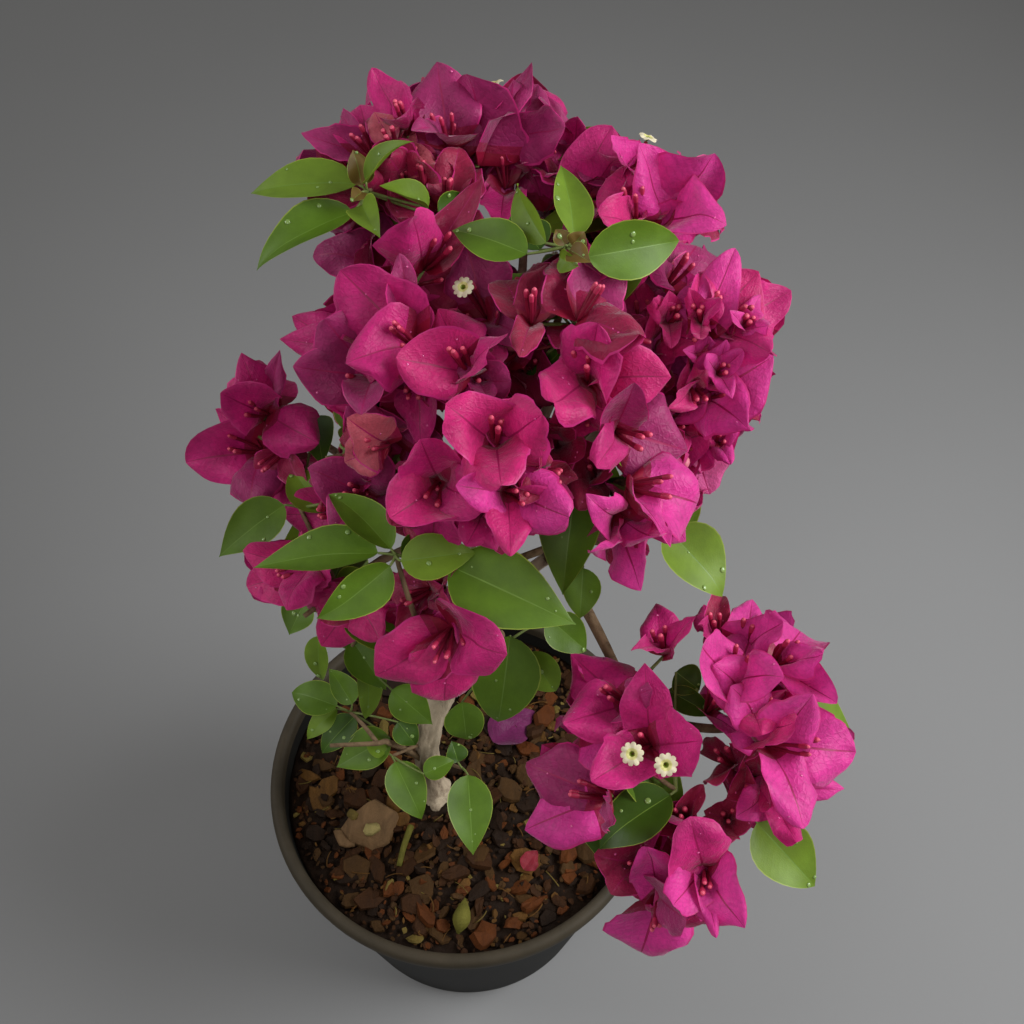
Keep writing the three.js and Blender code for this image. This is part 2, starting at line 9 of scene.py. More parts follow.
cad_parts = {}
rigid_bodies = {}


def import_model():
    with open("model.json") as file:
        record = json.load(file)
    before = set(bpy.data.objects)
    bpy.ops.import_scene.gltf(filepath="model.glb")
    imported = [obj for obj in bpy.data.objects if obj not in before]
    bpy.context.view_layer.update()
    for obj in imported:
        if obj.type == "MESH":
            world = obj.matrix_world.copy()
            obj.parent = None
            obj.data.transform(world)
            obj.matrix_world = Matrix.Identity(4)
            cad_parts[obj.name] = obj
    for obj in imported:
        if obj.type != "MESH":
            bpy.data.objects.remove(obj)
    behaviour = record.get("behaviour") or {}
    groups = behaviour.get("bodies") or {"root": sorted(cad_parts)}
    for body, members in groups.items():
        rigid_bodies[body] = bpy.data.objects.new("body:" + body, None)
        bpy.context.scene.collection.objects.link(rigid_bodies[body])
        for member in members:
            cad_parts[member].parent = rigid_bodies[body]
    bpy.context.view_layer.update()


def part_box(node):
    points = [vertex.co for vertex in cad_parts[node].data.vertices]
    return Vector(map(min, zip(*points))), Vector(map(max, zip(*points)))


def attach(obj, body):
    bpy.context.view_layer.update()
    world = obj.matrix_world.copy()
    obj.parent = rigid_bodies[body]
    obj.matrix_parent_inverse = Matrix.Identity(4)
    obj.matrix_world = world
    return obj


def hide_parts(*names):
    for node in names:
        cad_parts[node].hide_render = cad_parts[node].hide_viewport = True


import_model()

# Sizes are worked out in millimetres, as in the part's source, and become metres in each mesh
MM = 0.001
UP = np.array([0.0, 0.0, 1.0])
FULL_TURN = 2 * math.pi
GOLDEN_ANGLE = math.pi * (3 - math.sqrt(5))

# The photograph's camera: its frame, focal length in its pixels, downward tilt, place and axes
PHOTO_SIZE = 1024
HALF_PHOTO = PHOTO_SIZE / 2
FOCAL_PIXELS = 1200
LOOK_DOWN = math.radians(52.7)
CAMERA_AT = np.array([28.1, -299.4, 792.6])
CAMERA_WAY = np.array([0, math.cos(LOOK_DOWN), -math.sin(LOOK_DOWN)])
CAMERA_UP = np.array([0, math.sin(LOOK_DOWN), math.cos(LOOK_DOWN)])

# Pot and potting mix
_, RIM_RADIUS, POT_HEIGHT = np.array(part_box("pot")[1]) / MM
FOOT_RADIUS = 80.5
SHOULDER_RADIUS = 105
COLLAR_HEIGHT = 13
SHOULDER_HEIGHT = POT_HEIGHT - COLLAR_HEIGHT
WALL = 2.6
POT_FLOOR = 3
MIX_TOP = 141
MIX_MOUND = 5
MIX_LEVEL_REACH = 18

# Trunk and boughs
TRUNK_PATH = np.array([
    [-15, -11, 146.3], [-17, -9, 154], [-18, -6, 171.6], [-18, -2, 195],
    [-12, 3, 222], [-3, 8, 250], [4, 12, 276], [7, 15, 296],
], dtype=float)
TRUNK_FOOT_RADIUS = 8.6
TRUNK_TOP_RADIUS = 5.4
TRUNK_SIDES = 40
TRUNK_RINGS = 110
TRUNK_CAP = 4
ROOTS = 5
ROOT_FLARE = 4.2
FLARE_HEIGHT = 16
TIP_RADIUS = 1.7
BEND_TAPER = 0.75
BEND_OVERLAP = 1.5
STATION_STEP = 30
BOUGH_SIDES = 14
BOUGH_STEPS = 36
OLD_BARK_RADIUS = 2.9
APPROACH = 0.4
TIP_SHARE = -0.25
STEM_START = -0.35
STEM_END = 0.3
STEM_RADIUS = 1.5

# Twigs: their radii at the foot and at the tip
BLOSSOM_TWIG = (0.85, 0.55)
PLACED_TWIG = (0.95, 0.6)
LEAF_TWIG = (0.8, 0.5)
PETIOLE = (0.75, 0.5)
SHOOT_TWIG = (1.3, 0.9)

# Blossom and leaf
BRACTS = 3
BRACT_LENGTH = 30
BRACT_WIDTH = 25
LEAF_LENGTH = 43
LEAF_WIDTH = 24
LOW_LEAF_SIZE = 0.66
DOME_SPREAD = 1.34
LOWEST_LIFT = -0.8
BLOSSOM_RISE = 0.25
OPENING = 0.85
RULE_INSET = 0.5
PLACED_INSET = 0.45
OVERLONG = 1.38
STAR_LOBES = 5
STAR_RADIUS = 4.2
STAR_REACH = 21
STAR_TURN = 0.03
BLADE_TO_CHORD = 1.04

# A closed flower: the share of its length and the radius of each ring
TUBE_SHARES = np.array([0, 0.12, 0.35, 0.62, 0.78, 0.89, 0.96, 1.0])
TUBE_RADII = np.array([0.4, 0.75, 0.85, 0.85, 1.0, 1.15, 0.9, 0.3])
# An open flower: the radii of its tube, and the reach and height of each ring of its petals
STAR_TUBE_RADII = (0.45, 0.6, 0.66, 0.7, 0.75, 0.8, 0.85, 0.8)
STAR_RINGS = ((0.05, -1.9), (0.14, -1.0), (0.24, 0.0), (0.5, 0.3), (0.8, 0.2), (1.0, -0.2))
STAR_SIDES = 60
# A bud: how far each ring lies from its foot, and its radius
BUD_REACHES = (0, 3, 4.5, 6, 7.5, 8.6, 9.2)
BUD_RADII = (0.3, 0.4, 1.3, 1.9, 1.8, 1.1, 0.2)
# A dew drop: its height as a share of its radius, the levels of its rings, and its sides
DROP_HEIGHT = 0.42
DROP_LEVELS = (0.0, 0.4, 0.75, 0.95)
DROP_SIDES = 10

# How often a blossom is young or has an open flower, buds or a red stalk
YOUNG_CHANCE = 0.2
STAR_CHANCE = 0.12
BUD_CHANCE = 0.15
STALK_CHANCE = 0.4

CROWN_HEART = [44, 52, 392]
ARCH_HEART = [92, -88, 336]
SKIRT_HEART = [14, 26, 350]


def mass(name, seed, at, reach, blossoms, leaves, heart=CROWN_HEART):
    """A mass of the crown: the seed of its rule, its centre and reach, how many blossoms and leaves the
    rule gives it, and the heart that it faces away from."""
    return {"name": name, "seed": seed, "at": np.array(at, float), "reach": reach,
            "blossoms": blossoms, "leaves": leaves, "heart": np.array(heart, float)}


MASSES = [
    mass("bloom_back_left", 33, [-20, 129, 466], 42, 8, 3),
    mass("bloom_back", 24, [32, 151, 462], 41, 7, 2),
    mass("bloom_back_right", 4, [85, 113, 462], 40, 7, 2),
    mass("bloom_right", 38, [108, 46, 448], 39, 7, 2),
    mass("bloom_centre", 11, [54, 30, 474], 38, 7, 3),
    mass("bloom_front", 26, [20, -13, 455], 37, 7, 2),
    mass("bloom_middle", 9, [18, 24, 462], 30, 5, 0, [18, 24, 392]),
    mass("bloom_front_right", 8, [80, -22, 438], 34, 6, 3),
    mass("bloom_left", 2, [-17, 37, 462], 39, 8, 1),
    mass("bloom_front_left", 29, [-38, 8, 426], 29, 4, 3),
    mass("bloom_side_left", 26, [-84, 50, 392], 34, 6, 3),
    mass("bloom_low_left", 27, [-50, -27, 374], 34, 5, 4),
    mass("bloom_low_front", 34, [0, -53, 388], 29, 5, 3),
    mass("bloom_rear_left", 19, [-8, 136, 398], 38, 6, 4),
    mass("bloom_rear", 4, [58, 156, 406], 38, 6, 4),
    mass("bloom_rear_right", 19, [116, 108, 402], 38, 6, 4),
    mass("bloom_under_right", 31, [104, 44, 384], 34, 5, 4),
    mass("bloom_arch_left", 38, [62, -92, 384], 33, 6, 2, ARCH_HEART),
    mass("bloom_arch_right", 2, [129, -77, 380], 36, 7, 3, ARCH_HEART),
    mass("bloom_arch_low", 4, [95, -130, 349], 31, 6, 2, ARCH_HEART),
    mass("leaves_under_right", 1, [74, 24, 344], 38, 0, 6, SKIRT_HEART),
    mass("leaves_under_rear", 13, [34, 88, 340], 40, 0, 7, SKIRT_HEART),
    mass("leaves_under_left", 3, [-46, -2, 314], 40, 0, 7, SKIRT_HEART),
    mass("leaves_under_front", 25, [26, -32, 318], 40, 0, 7, SKIRT_HEART),
    mass("leaves_low_shoot", 20, [-56, -14, 216], 40, 0, 7, [-18, -4, 200]),
]
MASS_NAMED = {each["name"]: each for each in MASSES}


def bough(name, parent, share, crown, bow, radius, tip=None, follows=None):
    """A limb: its parent, how far along it the limb starts, the mass that it carries or its tip, its
    bow and radius, or the bough that it goes on from."""
    return {"name": name, "parent": parent, "share": share, "crown": crown, "bow": np.array(bow, float),
            "radius": radius, "tip": tip, "follows": follows}


BOUGHS = [
    bough("bough_back", "trunk", 0.94, "bloom_back", [0, -6, 0], 4.2),
    bough("bough_right", "trunk", 0.98, "bloom_right", [0, 0, 6], 4),
    bough("bough_centre", "trunk", 0.96, "bloom_centre", [-6, -2, 0], 3.8),
    bough("bough_left", "trunk", 0.86, "bloom_left", [-6, 4, 0], 3.6),
    bough("bough_arch_rise", "trunk", 0.9, None, [-2, -10, 22], 3.6, tip=[43, -12, 384]),
    bough("bough_side_left", "trunk", 0.76, "bloom_side_left", [4, 0, 6], 3.4),
    bough("bough_low_front", "trunk", 0.7, "bloom_low_front", [0, 0, 0], 3),
    bough("bough_back_left", "bough_back", 0.5, "bloom_back_left", [-4, 0, 0], 2.6),
    bough("bough_back_right", "bough_right", 0.4, "bloom_back_right", [0, 6, 0], 2.7),
    bough("bough_rear_left", "bough_back", 0.3, "bloom_rear_left", [-4, 2, 0], 2.4),
    bough("bough_rear", "bough_back", 0.4, "bloom_rear", [2, 2, 0], 2.5),
    bough("bough_rear_right", "bough_right", 0.5, "bloom_rear_right", [0, 4, 0], 2.4),
    bough("bough_under_right", "bough_right", 0.34, "bloom_under_right", [0, -4, -4], 2.4),
    bough("bough_front", "bough_centre", 0.42, "bloom_front", [-4, 0, 0], 2.6),
    bough("bough_middle", "bough_left", 0.5, "bloom_middle", [4, 0, 0], 2.2),
    bough("bough_front_right", "bough_right", 0.3, "bloom_front_right", [0, -4, 0], 2.6),
    bough("bough_front_left", "bough_left", 0.45, "bloom_front_left", [-2, 0, 0], 2.4),
    bough("bough_low_left", "bough_side_left", 0.4, "bloom_low_left", [0, 0, 0], 2.4),
    bough("bough_arch_reach", None, 1, "bloom_arch_low", [0, 0, 10], 2.7, follows="bough_arch_rise"),
    bough("bough_arch_right", "bough_arch_reach", 0.55, "bloom_arch_right", [0, 0, 0], 2),
    bough("bough_arch_left", "bough_arch_reach", 0.45, "bloom_arch_left", [0, 0, 0], 2),
    bough("shoot_under_right", "bough_right", 0.18, "leaves_under_right", [0, 0, -6], 2.2),
    bough("shoot_under_rear", "bough_back", 0.2, "leaves_under_rear", [0, 0, -6], 2.2),
    bough("shoot_under_left", "trunk", 0.62, "leaves_under_left", [0, 0, -4], 2.2),
    bough("shoot_under_front", "trunk", 0.66, "leaves_under_front", [0, 0, -6], 2.2),
    bough("shoot_low", "trunk", 0.3, "leaves_low_shoot", [0, 0, -4], 2.2),
]

# The regions that blossom and leaves are joined in, each kind apart
REGIONS = {
    "back": ["bloom_back_left", "bloom_back", "bloom_back_right", "bloom_rear_left", "bloom_rear",
             "bloom_rear_right"],
    "front": ["bloom_right", "bloom_centre", "bloom_front", "bloom_middle", "bloom_front_right",
              "bloom_left", "bloom_front_left", "bloom_under_right"],
    "left": ["bloom_side_left", "bloom_low_left", "bloom_low_front"],
    "arch": ["bloom_arch_left", "bloom_arch_right", "bloom_arch_low"],
    "skirt": ["leaves_under_right", "leaves_under_rear", "leaves_under_left", "leaves_under_front",
              "leaves_low_shoot"],
}


def blade(base, tip, heights, width, kind="leaf", lean=0.0, fold=0.25):
    """A leaf that the photograph shows: the pixels and heights of its base and tip, its width, how far
    it leans to one side, and how deep it is folded."""
    return {"base": base, "tip": tip, "heights": heights, "width": width, "kind": kind, "lean": lean,
            "fold": fold}


def sprig(crown, hub, height, blades, share=0.7, trunk_height=None):
    """A leafy shoot that the photograph shows, on the mass that carries it or on the trunk."""
    return {"crown": crown, "hub": hub, "height": height, "blades": blades, "share": share,
            "trunk_height": trunk_height}


SPRIGS = [
    sprig("bloom_back_left", (368, 192), 486, [
        blade((357, 184), (251, 187), (487, 484), 25, "leaf_light", 0.5, 0.3),
        blade((353, 212), (252, 260), (482, 474), 22, "leaf", 0.6, 0.4),
        blade((366, 182), (405, 137), (492, 514), 13, "leaf_light", -0.7, 0.6),
        blade((362, 185), (354, 151), (490, 502), 11, "leaf_young", 0.2, 0.4),
        blade((428, 208), (382, 184), (484, 492), 14, "leaf_light", 0.8, 0.7),
        blade((362, 205), (376, 232), (490, 498), 13, "leaf_light", 0.3, 0.6),
        blade((362, 192), (352, 200), (490, 493), 7, "leaf_young", 0.0, 0.4),
        blade((440, 218), (470, 196), (478, 480), 15, "leaf_dark", 0.3, 0.3),
    ]),
    sprig("bloom_centre", (568, 246), 506, [
        blade((527, 254), (450, 226), (505, 503), 18, "leaf", 0.1, 0.3),
        blade((546, 243), (510, 181), (507, 512), 14, "leaf_light", -0.7, 0.5),
        blade((574, 238), (563, 165), (508, 515), 15, "leaf_light", 0.5, 0.4),
        blade((588, 257), (684, 240), (506, 503), 22, "leaf", 0.3, 0.25),
        blade((573, 246), (584, 232), (511, 516), 8, "leaf_young", 0.2, 0.3),
        blade((570, 250), (589, 261), (510, 512), 9, "leaf_young", 0.2, 0.3),
        blade((565, 245), (556, 229), (510, 514), 7, "leaf_young", 0.2, 0.3),
        blade((560, 258), (577, 266), (506, 508), 9, "leaf_light", 0.6, 0.5),
        blade((540, 250), (512, 214), (492, 494), 18, "leaf_dark", 0.2, 0.2),
    ]),
    sprig("bloom_low_front", (396, 555), 432, [
        blade((378, 553), (255, 563), (433, 428), 25, "leaf", 0.55, 0.35),
        blade((391, 549), (330, 488), (434, 438), 17, "leaf", 0.4, 0.3),
        blade((390, 566), (320, 622), (432, 425), 18, "leaf", -0.6, 0.4),
        blade((401, 561), (478, 551), (434, 434), 18, "leaf_light", 0.1, 0.15),
        blade((402, 556), (432, 540), (432, 428), 12, "leaf_dark", 0.1, 0.2),
        blade((450, 566), (572, 622), (427, 421), 31, "leaf", 0.1, 0.12),
    ], 1.0),
    sprig("bloom_front", (582, 462), 426, [
        blade((578, 470), (562, 592), (430, 402), 26, "leaf", 0.1, 0.3),
        blade((583, 568), (580, 618), (398, 386), 16, "leaf", 0.0, 0.2),
    ], 0.0),
    sprig("bloom_low_left", (300, 508), 396, [
        blade((284, 505), (219, 554), (398, 390), 21, "leaf", 0.2, 0.2),
        blade((322, 512), (290, 466), (396, 400), 19, "leaf_light", 0.1, 0.2),
        blade((316, 416), (322, 462), (396, 398), 16, "leaf_dark", 0.1, 0.2),
        blade((404, 486), (398, 452), (420, 428), 14, "leaf", 0.2, 0.2),
    ], 0.2),
    sprig("bloom_front_right", (672, 520), 418, [
        blade((668, 530), (727, 594), (419, 408), 26, "leaf_light", -0.25, 0.25),
        blade((668, 512), (600, 480), (420, 424), 18, "leaf_dark", 0.2, 0.2),
    ], 0.0),
    sprig("bloom_arch_left", (676, 790), 376, [
        blade((670, 795), (597, 845), (378, 371), 22, "leaf_dark", 0.3, 0.25),
        blade((668, 690), (714, 716), (384, 376), 11, "leaf_dark", 0.2, 0.3),
        blade((676, 672), (700, 690), (388, 384), 14, "leaf_dark", 0.2, 0.2),
    ], 0.2),
    sprig("bloom_arch_right", (752, 815), 360, [
        blade((757, 823), (817, 888), (360, 350), 24, "leaf_light", 0.1, 0.2),
    ], 0.0),
    sprig("leaves_low_shoot", (350, 712), 208, [
        blade((337, 706), (290, 690), (214, 214), 21, "leaf", 0.1, 0.15),
        blade((337, 709), (306, 738), (210, 202), 13, "leaf_light", 0.3, 0.3),
        blade((355, 716), (320, 753), (206, 198), 17, "leaf_dark", 0.1, 0.2),
        blade((390, 738), (337, 766), (204, 196), 24, "leaf", 0.1, 0.15),
        blade((352, 704), (330, 668), (216, 226), 15, "leaf", 0.2, 0.3),
        blade((398, 722), (416, 746), (216, 208), 15, "leaf_dark", 0.1, 0.2),
    ], 0.0),
    sprig("leaves_low_shoot", (392, 756), 202, [
        blade((395, 762), (422, 819), (202, 190), 22, "leaf", 0.0, 0.2),
        blade((386, 752), (366, 744), (203, 205), 12, "leaf_light", 0.2, 0.3),
        blade((424, 774), (454, 760), (204, 206), 13, "leaf", 0.0, 0.3),
    ], 0.0, 196),
    sprig("leaves_low_shoot", (462, 768), 196, [
        blade((468, 775), (473, 853), (198, 184), 25, "leaf", 0.0, 0.18),
        blade((458, 762), (452, 742), (200, 208), 13, "leaf_dark", 0.2, 0.3),
    ], 0.0, 184),
    sprig("leaves_under_left", (350, 650), 286, [
        blade((306, 600), (289, 634), (324, 314), 17, "leaf", 0.2, 0.2),
        blade((318, 636), (320, 684), (300, 278), 14, "leaf_light", 0.4, 0.35),
        blade((366, 652), (370, 724), (286, 256), 16, "leaf_light", -0.4, 0.35),
        blade((392, 690), (432, 724), (276, 262), 19, "leaf", 0.1, 0.2),
        blade((352, 640), (386, 690), (292, 276), 20, "leaf", 0.1, 0.2),
    ], 0.2),
    sprig("leaves_under_front", (510, 640), 330, [
        blade((510, 636), (498, 730), (343, 306), 32, "leaf", -0.1, 0.22),
        blade((530, 652), (556, 694), (326, 312), 18, "leaf_light", 0.3, 0.3),
        blade((462, 702), (467, 744), (284, 262), 20, "leaf", 0.0, 0.2),
        blade((548, 618), (588, 652), (332, 322), 19, "leaf", 0.1, 0.2),
    ], 0.2),
]


def bloom(crown, base, aim, tips, kinds, size=1.0, near=0.0, stars=(), star_turn=STAR_TURN):
    """A blossom that the photograph shows: the pixels of its base, of what its flowers point at and of
    the tips of its bracts. A tip may name a share of the usual width, and -1 for a bract that is seen
    from outside. The blossom stands nearer the camera than its mass's dome by some millimetres."""
    tips = [(*tip, 1.0, 1)[:4] if len(tip) == 2 else (*tip, 1)[:4] for tip in tips]
    return {"crown": crown, "base": base, "aim": aim, "tips": tips, "kinds": kinds, "size": size,
            "near": near, "stars": stars, "star_turn": star_turn}


# Among the kinds, bright and pink are painted light where the key light falls, and purple and deep are
# painted shade
BLOOMS = [
    # Front of the crown
    bloom("bloom_left", (487, 319), (468, 281), [(462, 229), (424, 296), (522, 338, 0.6)],
          ["purple"], 1.02, 2, ((463, 287),)),
    bloom("bloom_middle", (471, 375), (452, 348), [(438, 309), (398, 358), (498, 334, 0.5)],
          ["magenta", "rose"], 1.0, 8),
    bloom("bloom_front", (496, 445), (497, 420), [(445, 404), (543, 415), (501, 484)], ["rose"], 1.0),
    bloom("bloom_front", (440, 482), (427, 506), [(395, 516), (430, 552), (478, 503), (422, 446)],
          ["rose", "magenta"], 0.98, 2),
    bloom("bloom_front", (507, 492), (524, 497), [(566, 516), (511, 552, 0.7), (465, 487, 0.7)],
          ["rose", "bright"], 0.95, 2),
    bloom("bloom_front", (532, 470), (560, 474), [(579, 479, 0.6), (546, 452, 0.6), (530, 500, 0.5)],
          ["crimson"], 0.7),
    bloom("bloom_front", (487, 505), (482, 522), [(470, 540, 0.8), (493, 543, 0.8)], ["magenta"], 0.8, -8),
    bloom("bloom_front", (412, 508), (395, 500), [(384, 498, 0.8), (394, 520, 0.8)], ["crimson"], 0.7, -6),
    bloom("bloom_centre", (587, 381), (583, 356), [(552, 406), (597, 326), (668, 375), (639, 335, 0.45)],
          ["rose", "magenta"], 1.05, 3),
    bloom("bloom_centre", (588, 396), (590, 425), [(550, 438, 0.9), (611, 418)], ["rose"], 0.85, 6),
    bloom("bloom_centre", (577, 322), (604, 282), [(614, 261), (562, 254), (638, 335)],
          ["purple", "deep"], 1.0, -2),
    bloom("bloom_centre", (531, 325), (531, 290), [(500, 274, 0.8), (547, 264, 0.8), (520, 352, 0.5)],
          ["magenta", "crimson"], 0.95, 2),
    bloom("bloom_centre", (528, 371), (527, 361), [(526, 401), (548, 400), (524, 332), (492, 366)],
          ["deep"], 0.72, -12),
    bloom("bloom_middle", (474, 380), (488, 385), [(504, 382), (490, 398, 0.6)], ["purple"], 0.7),
    bloom("bloom_front_right", (614, 430), (650, 440), [(693, 452, 1.35), (634, 388, 0.7), (599, 466, 0.6)],
          ["magenta", "purple"], 1.05, 10),
    bloom("bloom_front_right", (626, 486), (672, 482), [(711, 505, 1.1), (671, 541, 0.45), (692, 542, 0.7)],
          ["bright"], 1.1, 3),
    bloom("bloom_front_right", (614, 513), (641, 556), [(639, 588, 1.15), (600, 562, 0.5), (664, 545, 0.7),
          (598, 508, 0.6)], ["bright", "magenta"], 1.0, 6),
    bloom("bloom_right", (645, 341), (646, 302), [(631, 271, 0.9), (668, 296, 0.6), (690, 340, 0.8)],
          ["magenta", "rose"], 0.9),
    bloom("bloom_right", (660, 338), (682, 322), [(671, 297, 0.9), (698, 338)], ["rose"], 0.85, 3),
    bloom("bloom_right", (664, 290), (690, 255), [(703, 237, 1.1), (722, 262, 0.7), (660, 245, 0.6)],
          ["magenta", "purple"], 1.05),
    bloom("bloom_right", (697, 336), (722, 290), [(737, 248, 0.6), (756, 275, 1.1), (706, 284, 0.5)],
          ["bright", "rose"], 1.1, 6),
    bloom("bloom_right", (718, 332), (752, 308), [(776, 324), (787, 293, 0.8), (768, 350, 0.7)],
          ["bright", "magenta"], 1.1),
    bloom("bloom_right", (702, 396), (729, 392), [(770, 360, 1.15), (742, 420, 0.9), (726, 350, 0.7)],
          ["bright", "pink"], 1.15),
    bloom("bloom_right", (672, 414), (690, 385), [(708, 362, 0.7), (706, 402, 0.8), (650, 380, 0.6)],
          ["rose", "bright"], 0.95, 8),
    bloom("bloom_right", (700, 358), (711, 350), [(709, 340, 0.8), (727, 349, 0.6), (688, 350, 0.6)],
          ["bright"], 0.5, 4),
    bloom("bloom_under_right", (690, 432), (725, 450), [(744, 448, 0.7), (728, 474, 0.8), (709, 492)],
          ["pink", "bright"], 1.0, 4),
    bloom("bloom_under_right", (668, 436), (692, 452), [(706, 438, 0.9), (700, 470)], ["rose"], 0.9, 12),
    bloom("bloom_right", (668, 322), (676, 308), [(655, 300, 0.7), (684, 298, 0.7), (672, 342, 0.6)],
          ["rose"], 0.6, 9),
    bloom("bloom_right", (716, 374), (728, 366), [(742, 352, 0.6), (706, 356, 0.6), (732, 392, 0.6)],
          ["bright"], 0.6, 11),
    bloom("bloom_right", (690, 384), (700, 402), [(712, 422, 0.7), (678, 408, 0.6), (704, 372, 0.5)],
          ["bright", "rose"], 0.7, 9),
    bloom("bloom_right", (742, 330), (752, 318), [(760, 296, 0.6), (768, 326, 0.6), (734, 312, 0.5)],
          ["bright"], 0.55, 12),
    bloom("bloom_right", (702, 322), (700, 308), [(690, 290, 0.6), (716, 300, 0.6), (700, 340, 0.5)],
          ["rose", "magenta"], 0.6, 12),
    bloom("bloom_under_right", (716, 446), (724, 436), [(736, 424, 0.6), (706, 426, 0.5), (730, 458, 0.6)],
          ["bright", "rose"], 0.6, 10),
    bloom("bloom_right", (656, 392), (660, 380), [(644, 366, 0.6), (674, 372, 0.6), (656, 408, 0.5)],
          ["crimson", "rose"], 0.6, 14),
    bloom("bloom_front_right", (596, 478), (590, 455), [(572, 440, 0.8), (612, 454, 0.6), (582, 500, 0.8)],
          ["deep", "crimson"], 0.9, -14),
    bloom("bloom_front", (556, 446), (556, 430), [(543, 462, 0.9), (578, 452, 0.8), (560, 424, 0.8)],
          ["deep", "crimson"], 0.75, -12),
    # Left of the crown
    bloom("bloom_left", (417, 347), (393, 324), [(343, 273, 1.1), (401, 256, 0.45), (351, 356)],
          ["purple", "magenta"], 1.08, 2),
    bloom("bloom_left", (374, 378), (352, 366), [(295, 367, 1.05), (327, 322), (362, 402, 0.7)],
          ["purple"], 1.05, -8),
    bloom("bloom_left", (343, 348), (316, 335), [(284, 340, 0.8), (297, 319, 0.9)],
          ["purple", "magenta"], 0.9, -14),
    bloom("bloom_front_left", (376, 400), (352, 406), [(326, 412, 0.9), (346, 382)], ["deep"], 0.85),
    bloom("bloom_front_left", (390, 444), (366, 446), [(350, 422), (344, 462, 0.9)], ["russet"], 0.8, 30),
    bloom("bloom_front_left", (392, 440), (360, 450), [(340, 472), (352, 408)], ["purple"], 1.0, 2),
    bloom("bloom_middle", (418, 374), (408, 398), [(411, 422, 0.85), (391, 431, 0.8), (421, 447, 0.8)],
          ["rose", "magenta", "deep"], 0.85, 2),
    bloom("bloom_front_left", (366, 494), (349, 487), [(312, 470), (335, 526), (373, 452)],
          ["purple"], 0.95),
    bloom("bloom_side_left", (268, 415), (249, 408), [(242, 357, 0.8), (226, 396, 0.9), (278, 353, 0.5),
          (314, 441)], ["magenta", "purple"], 0.98),
    bloom("bloom_side_left", (264, 452), (226, 446), [(180, 461), (221, 411, 0.5), (247, 499)],
          ["magenta", "purple"], 1.08, -20),
    bloom("bloom_side_left", (285, 450), (262, 470), [(250, 488, 0.8), (300, 486, 0.7)], ["deep"], 0.8),
    bloom("bloom_low_left", (315, 566), (275, 575), [(240, 553, 0.8), (246, 587), (284, 601, 0.7)],
          ["rose", "magenta"], 1.0),
    bloom("bloom_low_left", (350, 512), (315, 515), [(284, 515), (302, 545)], ["magenta"], 0.95),
    bloom("bloom_low_left", (362, 590), (342, 615), [(322, 645, 1.1), (373, 635, 0.8), (302, 612, 0.8)],
          ["magenta", "rose"], 1.0, 2),
    # Low front
    bloom("bloom_low_front", (431, 589), (402, 600), [(384, 580, 0.8), (391, 637, 0.4), (444, 604, 0.6)],
          ["crimson", "fallen_red"], 0.8, 12),
    bloom("bloom_low_front", (452, 628), (437, 661), [(375, 679), (443, 705, 1.15), (495, 655, 1.1)],
          ["rose", "magenta"], 1.05, 6),
    # Back of the crown
    bloom("bloom_back_left", (479, 166), (492, 110), [(474, 73, 1.2, -1), (532, 67, 0.5)],
          ["purple"], 1.25, 10),
    bloom("bloom_back_left", (450, 150), (440, 110), [(437, 64, 1.1), (458, 80, 0.8), (420, 120, 0.6)],
          ["purple"], 1.15, 2),
    bloom("bloom_back", (505, 190), (500, 150), [(486, 128), (520, 136), (500, 220, 0.8)],
          ["magenta", "deep"], 1.0, -2),
    bloom("bloom_back_left", (462, 196), (460, 160), [(440, 150), (484, 152), (448, 212, 0.8)],
          ["deep"], 1.0, -10),
    bloom("bloom_back_left", (408, 190), (402, 170), [(390, 158), (424, 160), (398, 216, 0.8)],
          ["deep", "crimson"], 0.85, -8),
    bloom("bloom_back", (512, 142), (500, 96), [(537, 86), (512, 79, 0.8), (560, 126)],
          ["purple"], 1.0, -6, ((494, 83),), 0.008),
    bloom("bloom_back_left", (408, 136), (396, 98), [(373, 72, 0.6), (399, 74, 0.4), (413, 96, 0.5)],
          ["magenta", "deep"], 1.0, 2),
    bloom("bloom_back_left", (374, 158), (350, 130), [(332, 103, 0.35), (360, 105, 1.1), (304, 134, 0.6)],
          ["purple", "magenta"], 1.0, -6),
    bloom("bloom_back_left", (394, 146), (386, 130), [(374, 111, 0.9), (392, 112, 0.8)], ["russet"], 0.6, 6),
    bloom("bloom_back_left", (446, 208), (450, 178), [(460, 142, 0.9), (432, 150, 0.9, -1), (447, 147, 0.9)],
          ["crimson", "fallen_red", "crimson"], 0.9, 12),
    bloom("bloom_back_left", (424, 186), (420, 162), [(417, 146, 0.9)], ["russet"], 0.6, 8),
    bloom("bloom_left", (424, 270), (446, 236), [(480, 182, 0.5), (412, 216, 0.8)],
          ["magenta", "deep"], 1.2, 4),
    bloom("bloom_back_left", (400, 268), (358, 250), [(311, 249, 0.8), (345, 213), (352, 264, 0.8)],
          ["deep", "purple"], 1.0, -2),
    bloom("bloom_back_left", (362, 205), (330, 200), [(300, 197), (318, 226, 0.7)], ["purple"], 0.95, -12),
    bloom("bloom_back_left", (430, 242), (424, 216), [(409, 206, 0.9), (441, 204, 0.9), (400, 236, 0.8)],
          ["deep", "crimson"], 0.85),
    bloom("bloom_back", (545, 212), (548, 162), [(545, 126), (523, 150, 0.8), (568, 162, 0.8)],
          ["deep", "magenta"], 1.1, 2),
    bloom("bloom_back", (574, 182), (575, 136), [(553, 95, 0.6), (577, 111, 0.7), (598, 124, 0.6)],
          ["magenta", "purple"], 1.05, -4),
    bloom("bloom_back_right", (582, 198), (596, 152), [(609, 126, 0.9), (622, 152, 0.7)], ["magenta"], 1.05),
    bloom("bloom_back_right", (636, 226), (634, 190), [(622, 160, 1.1), (664, 178, 0.8), (604, 214, 0.8)],
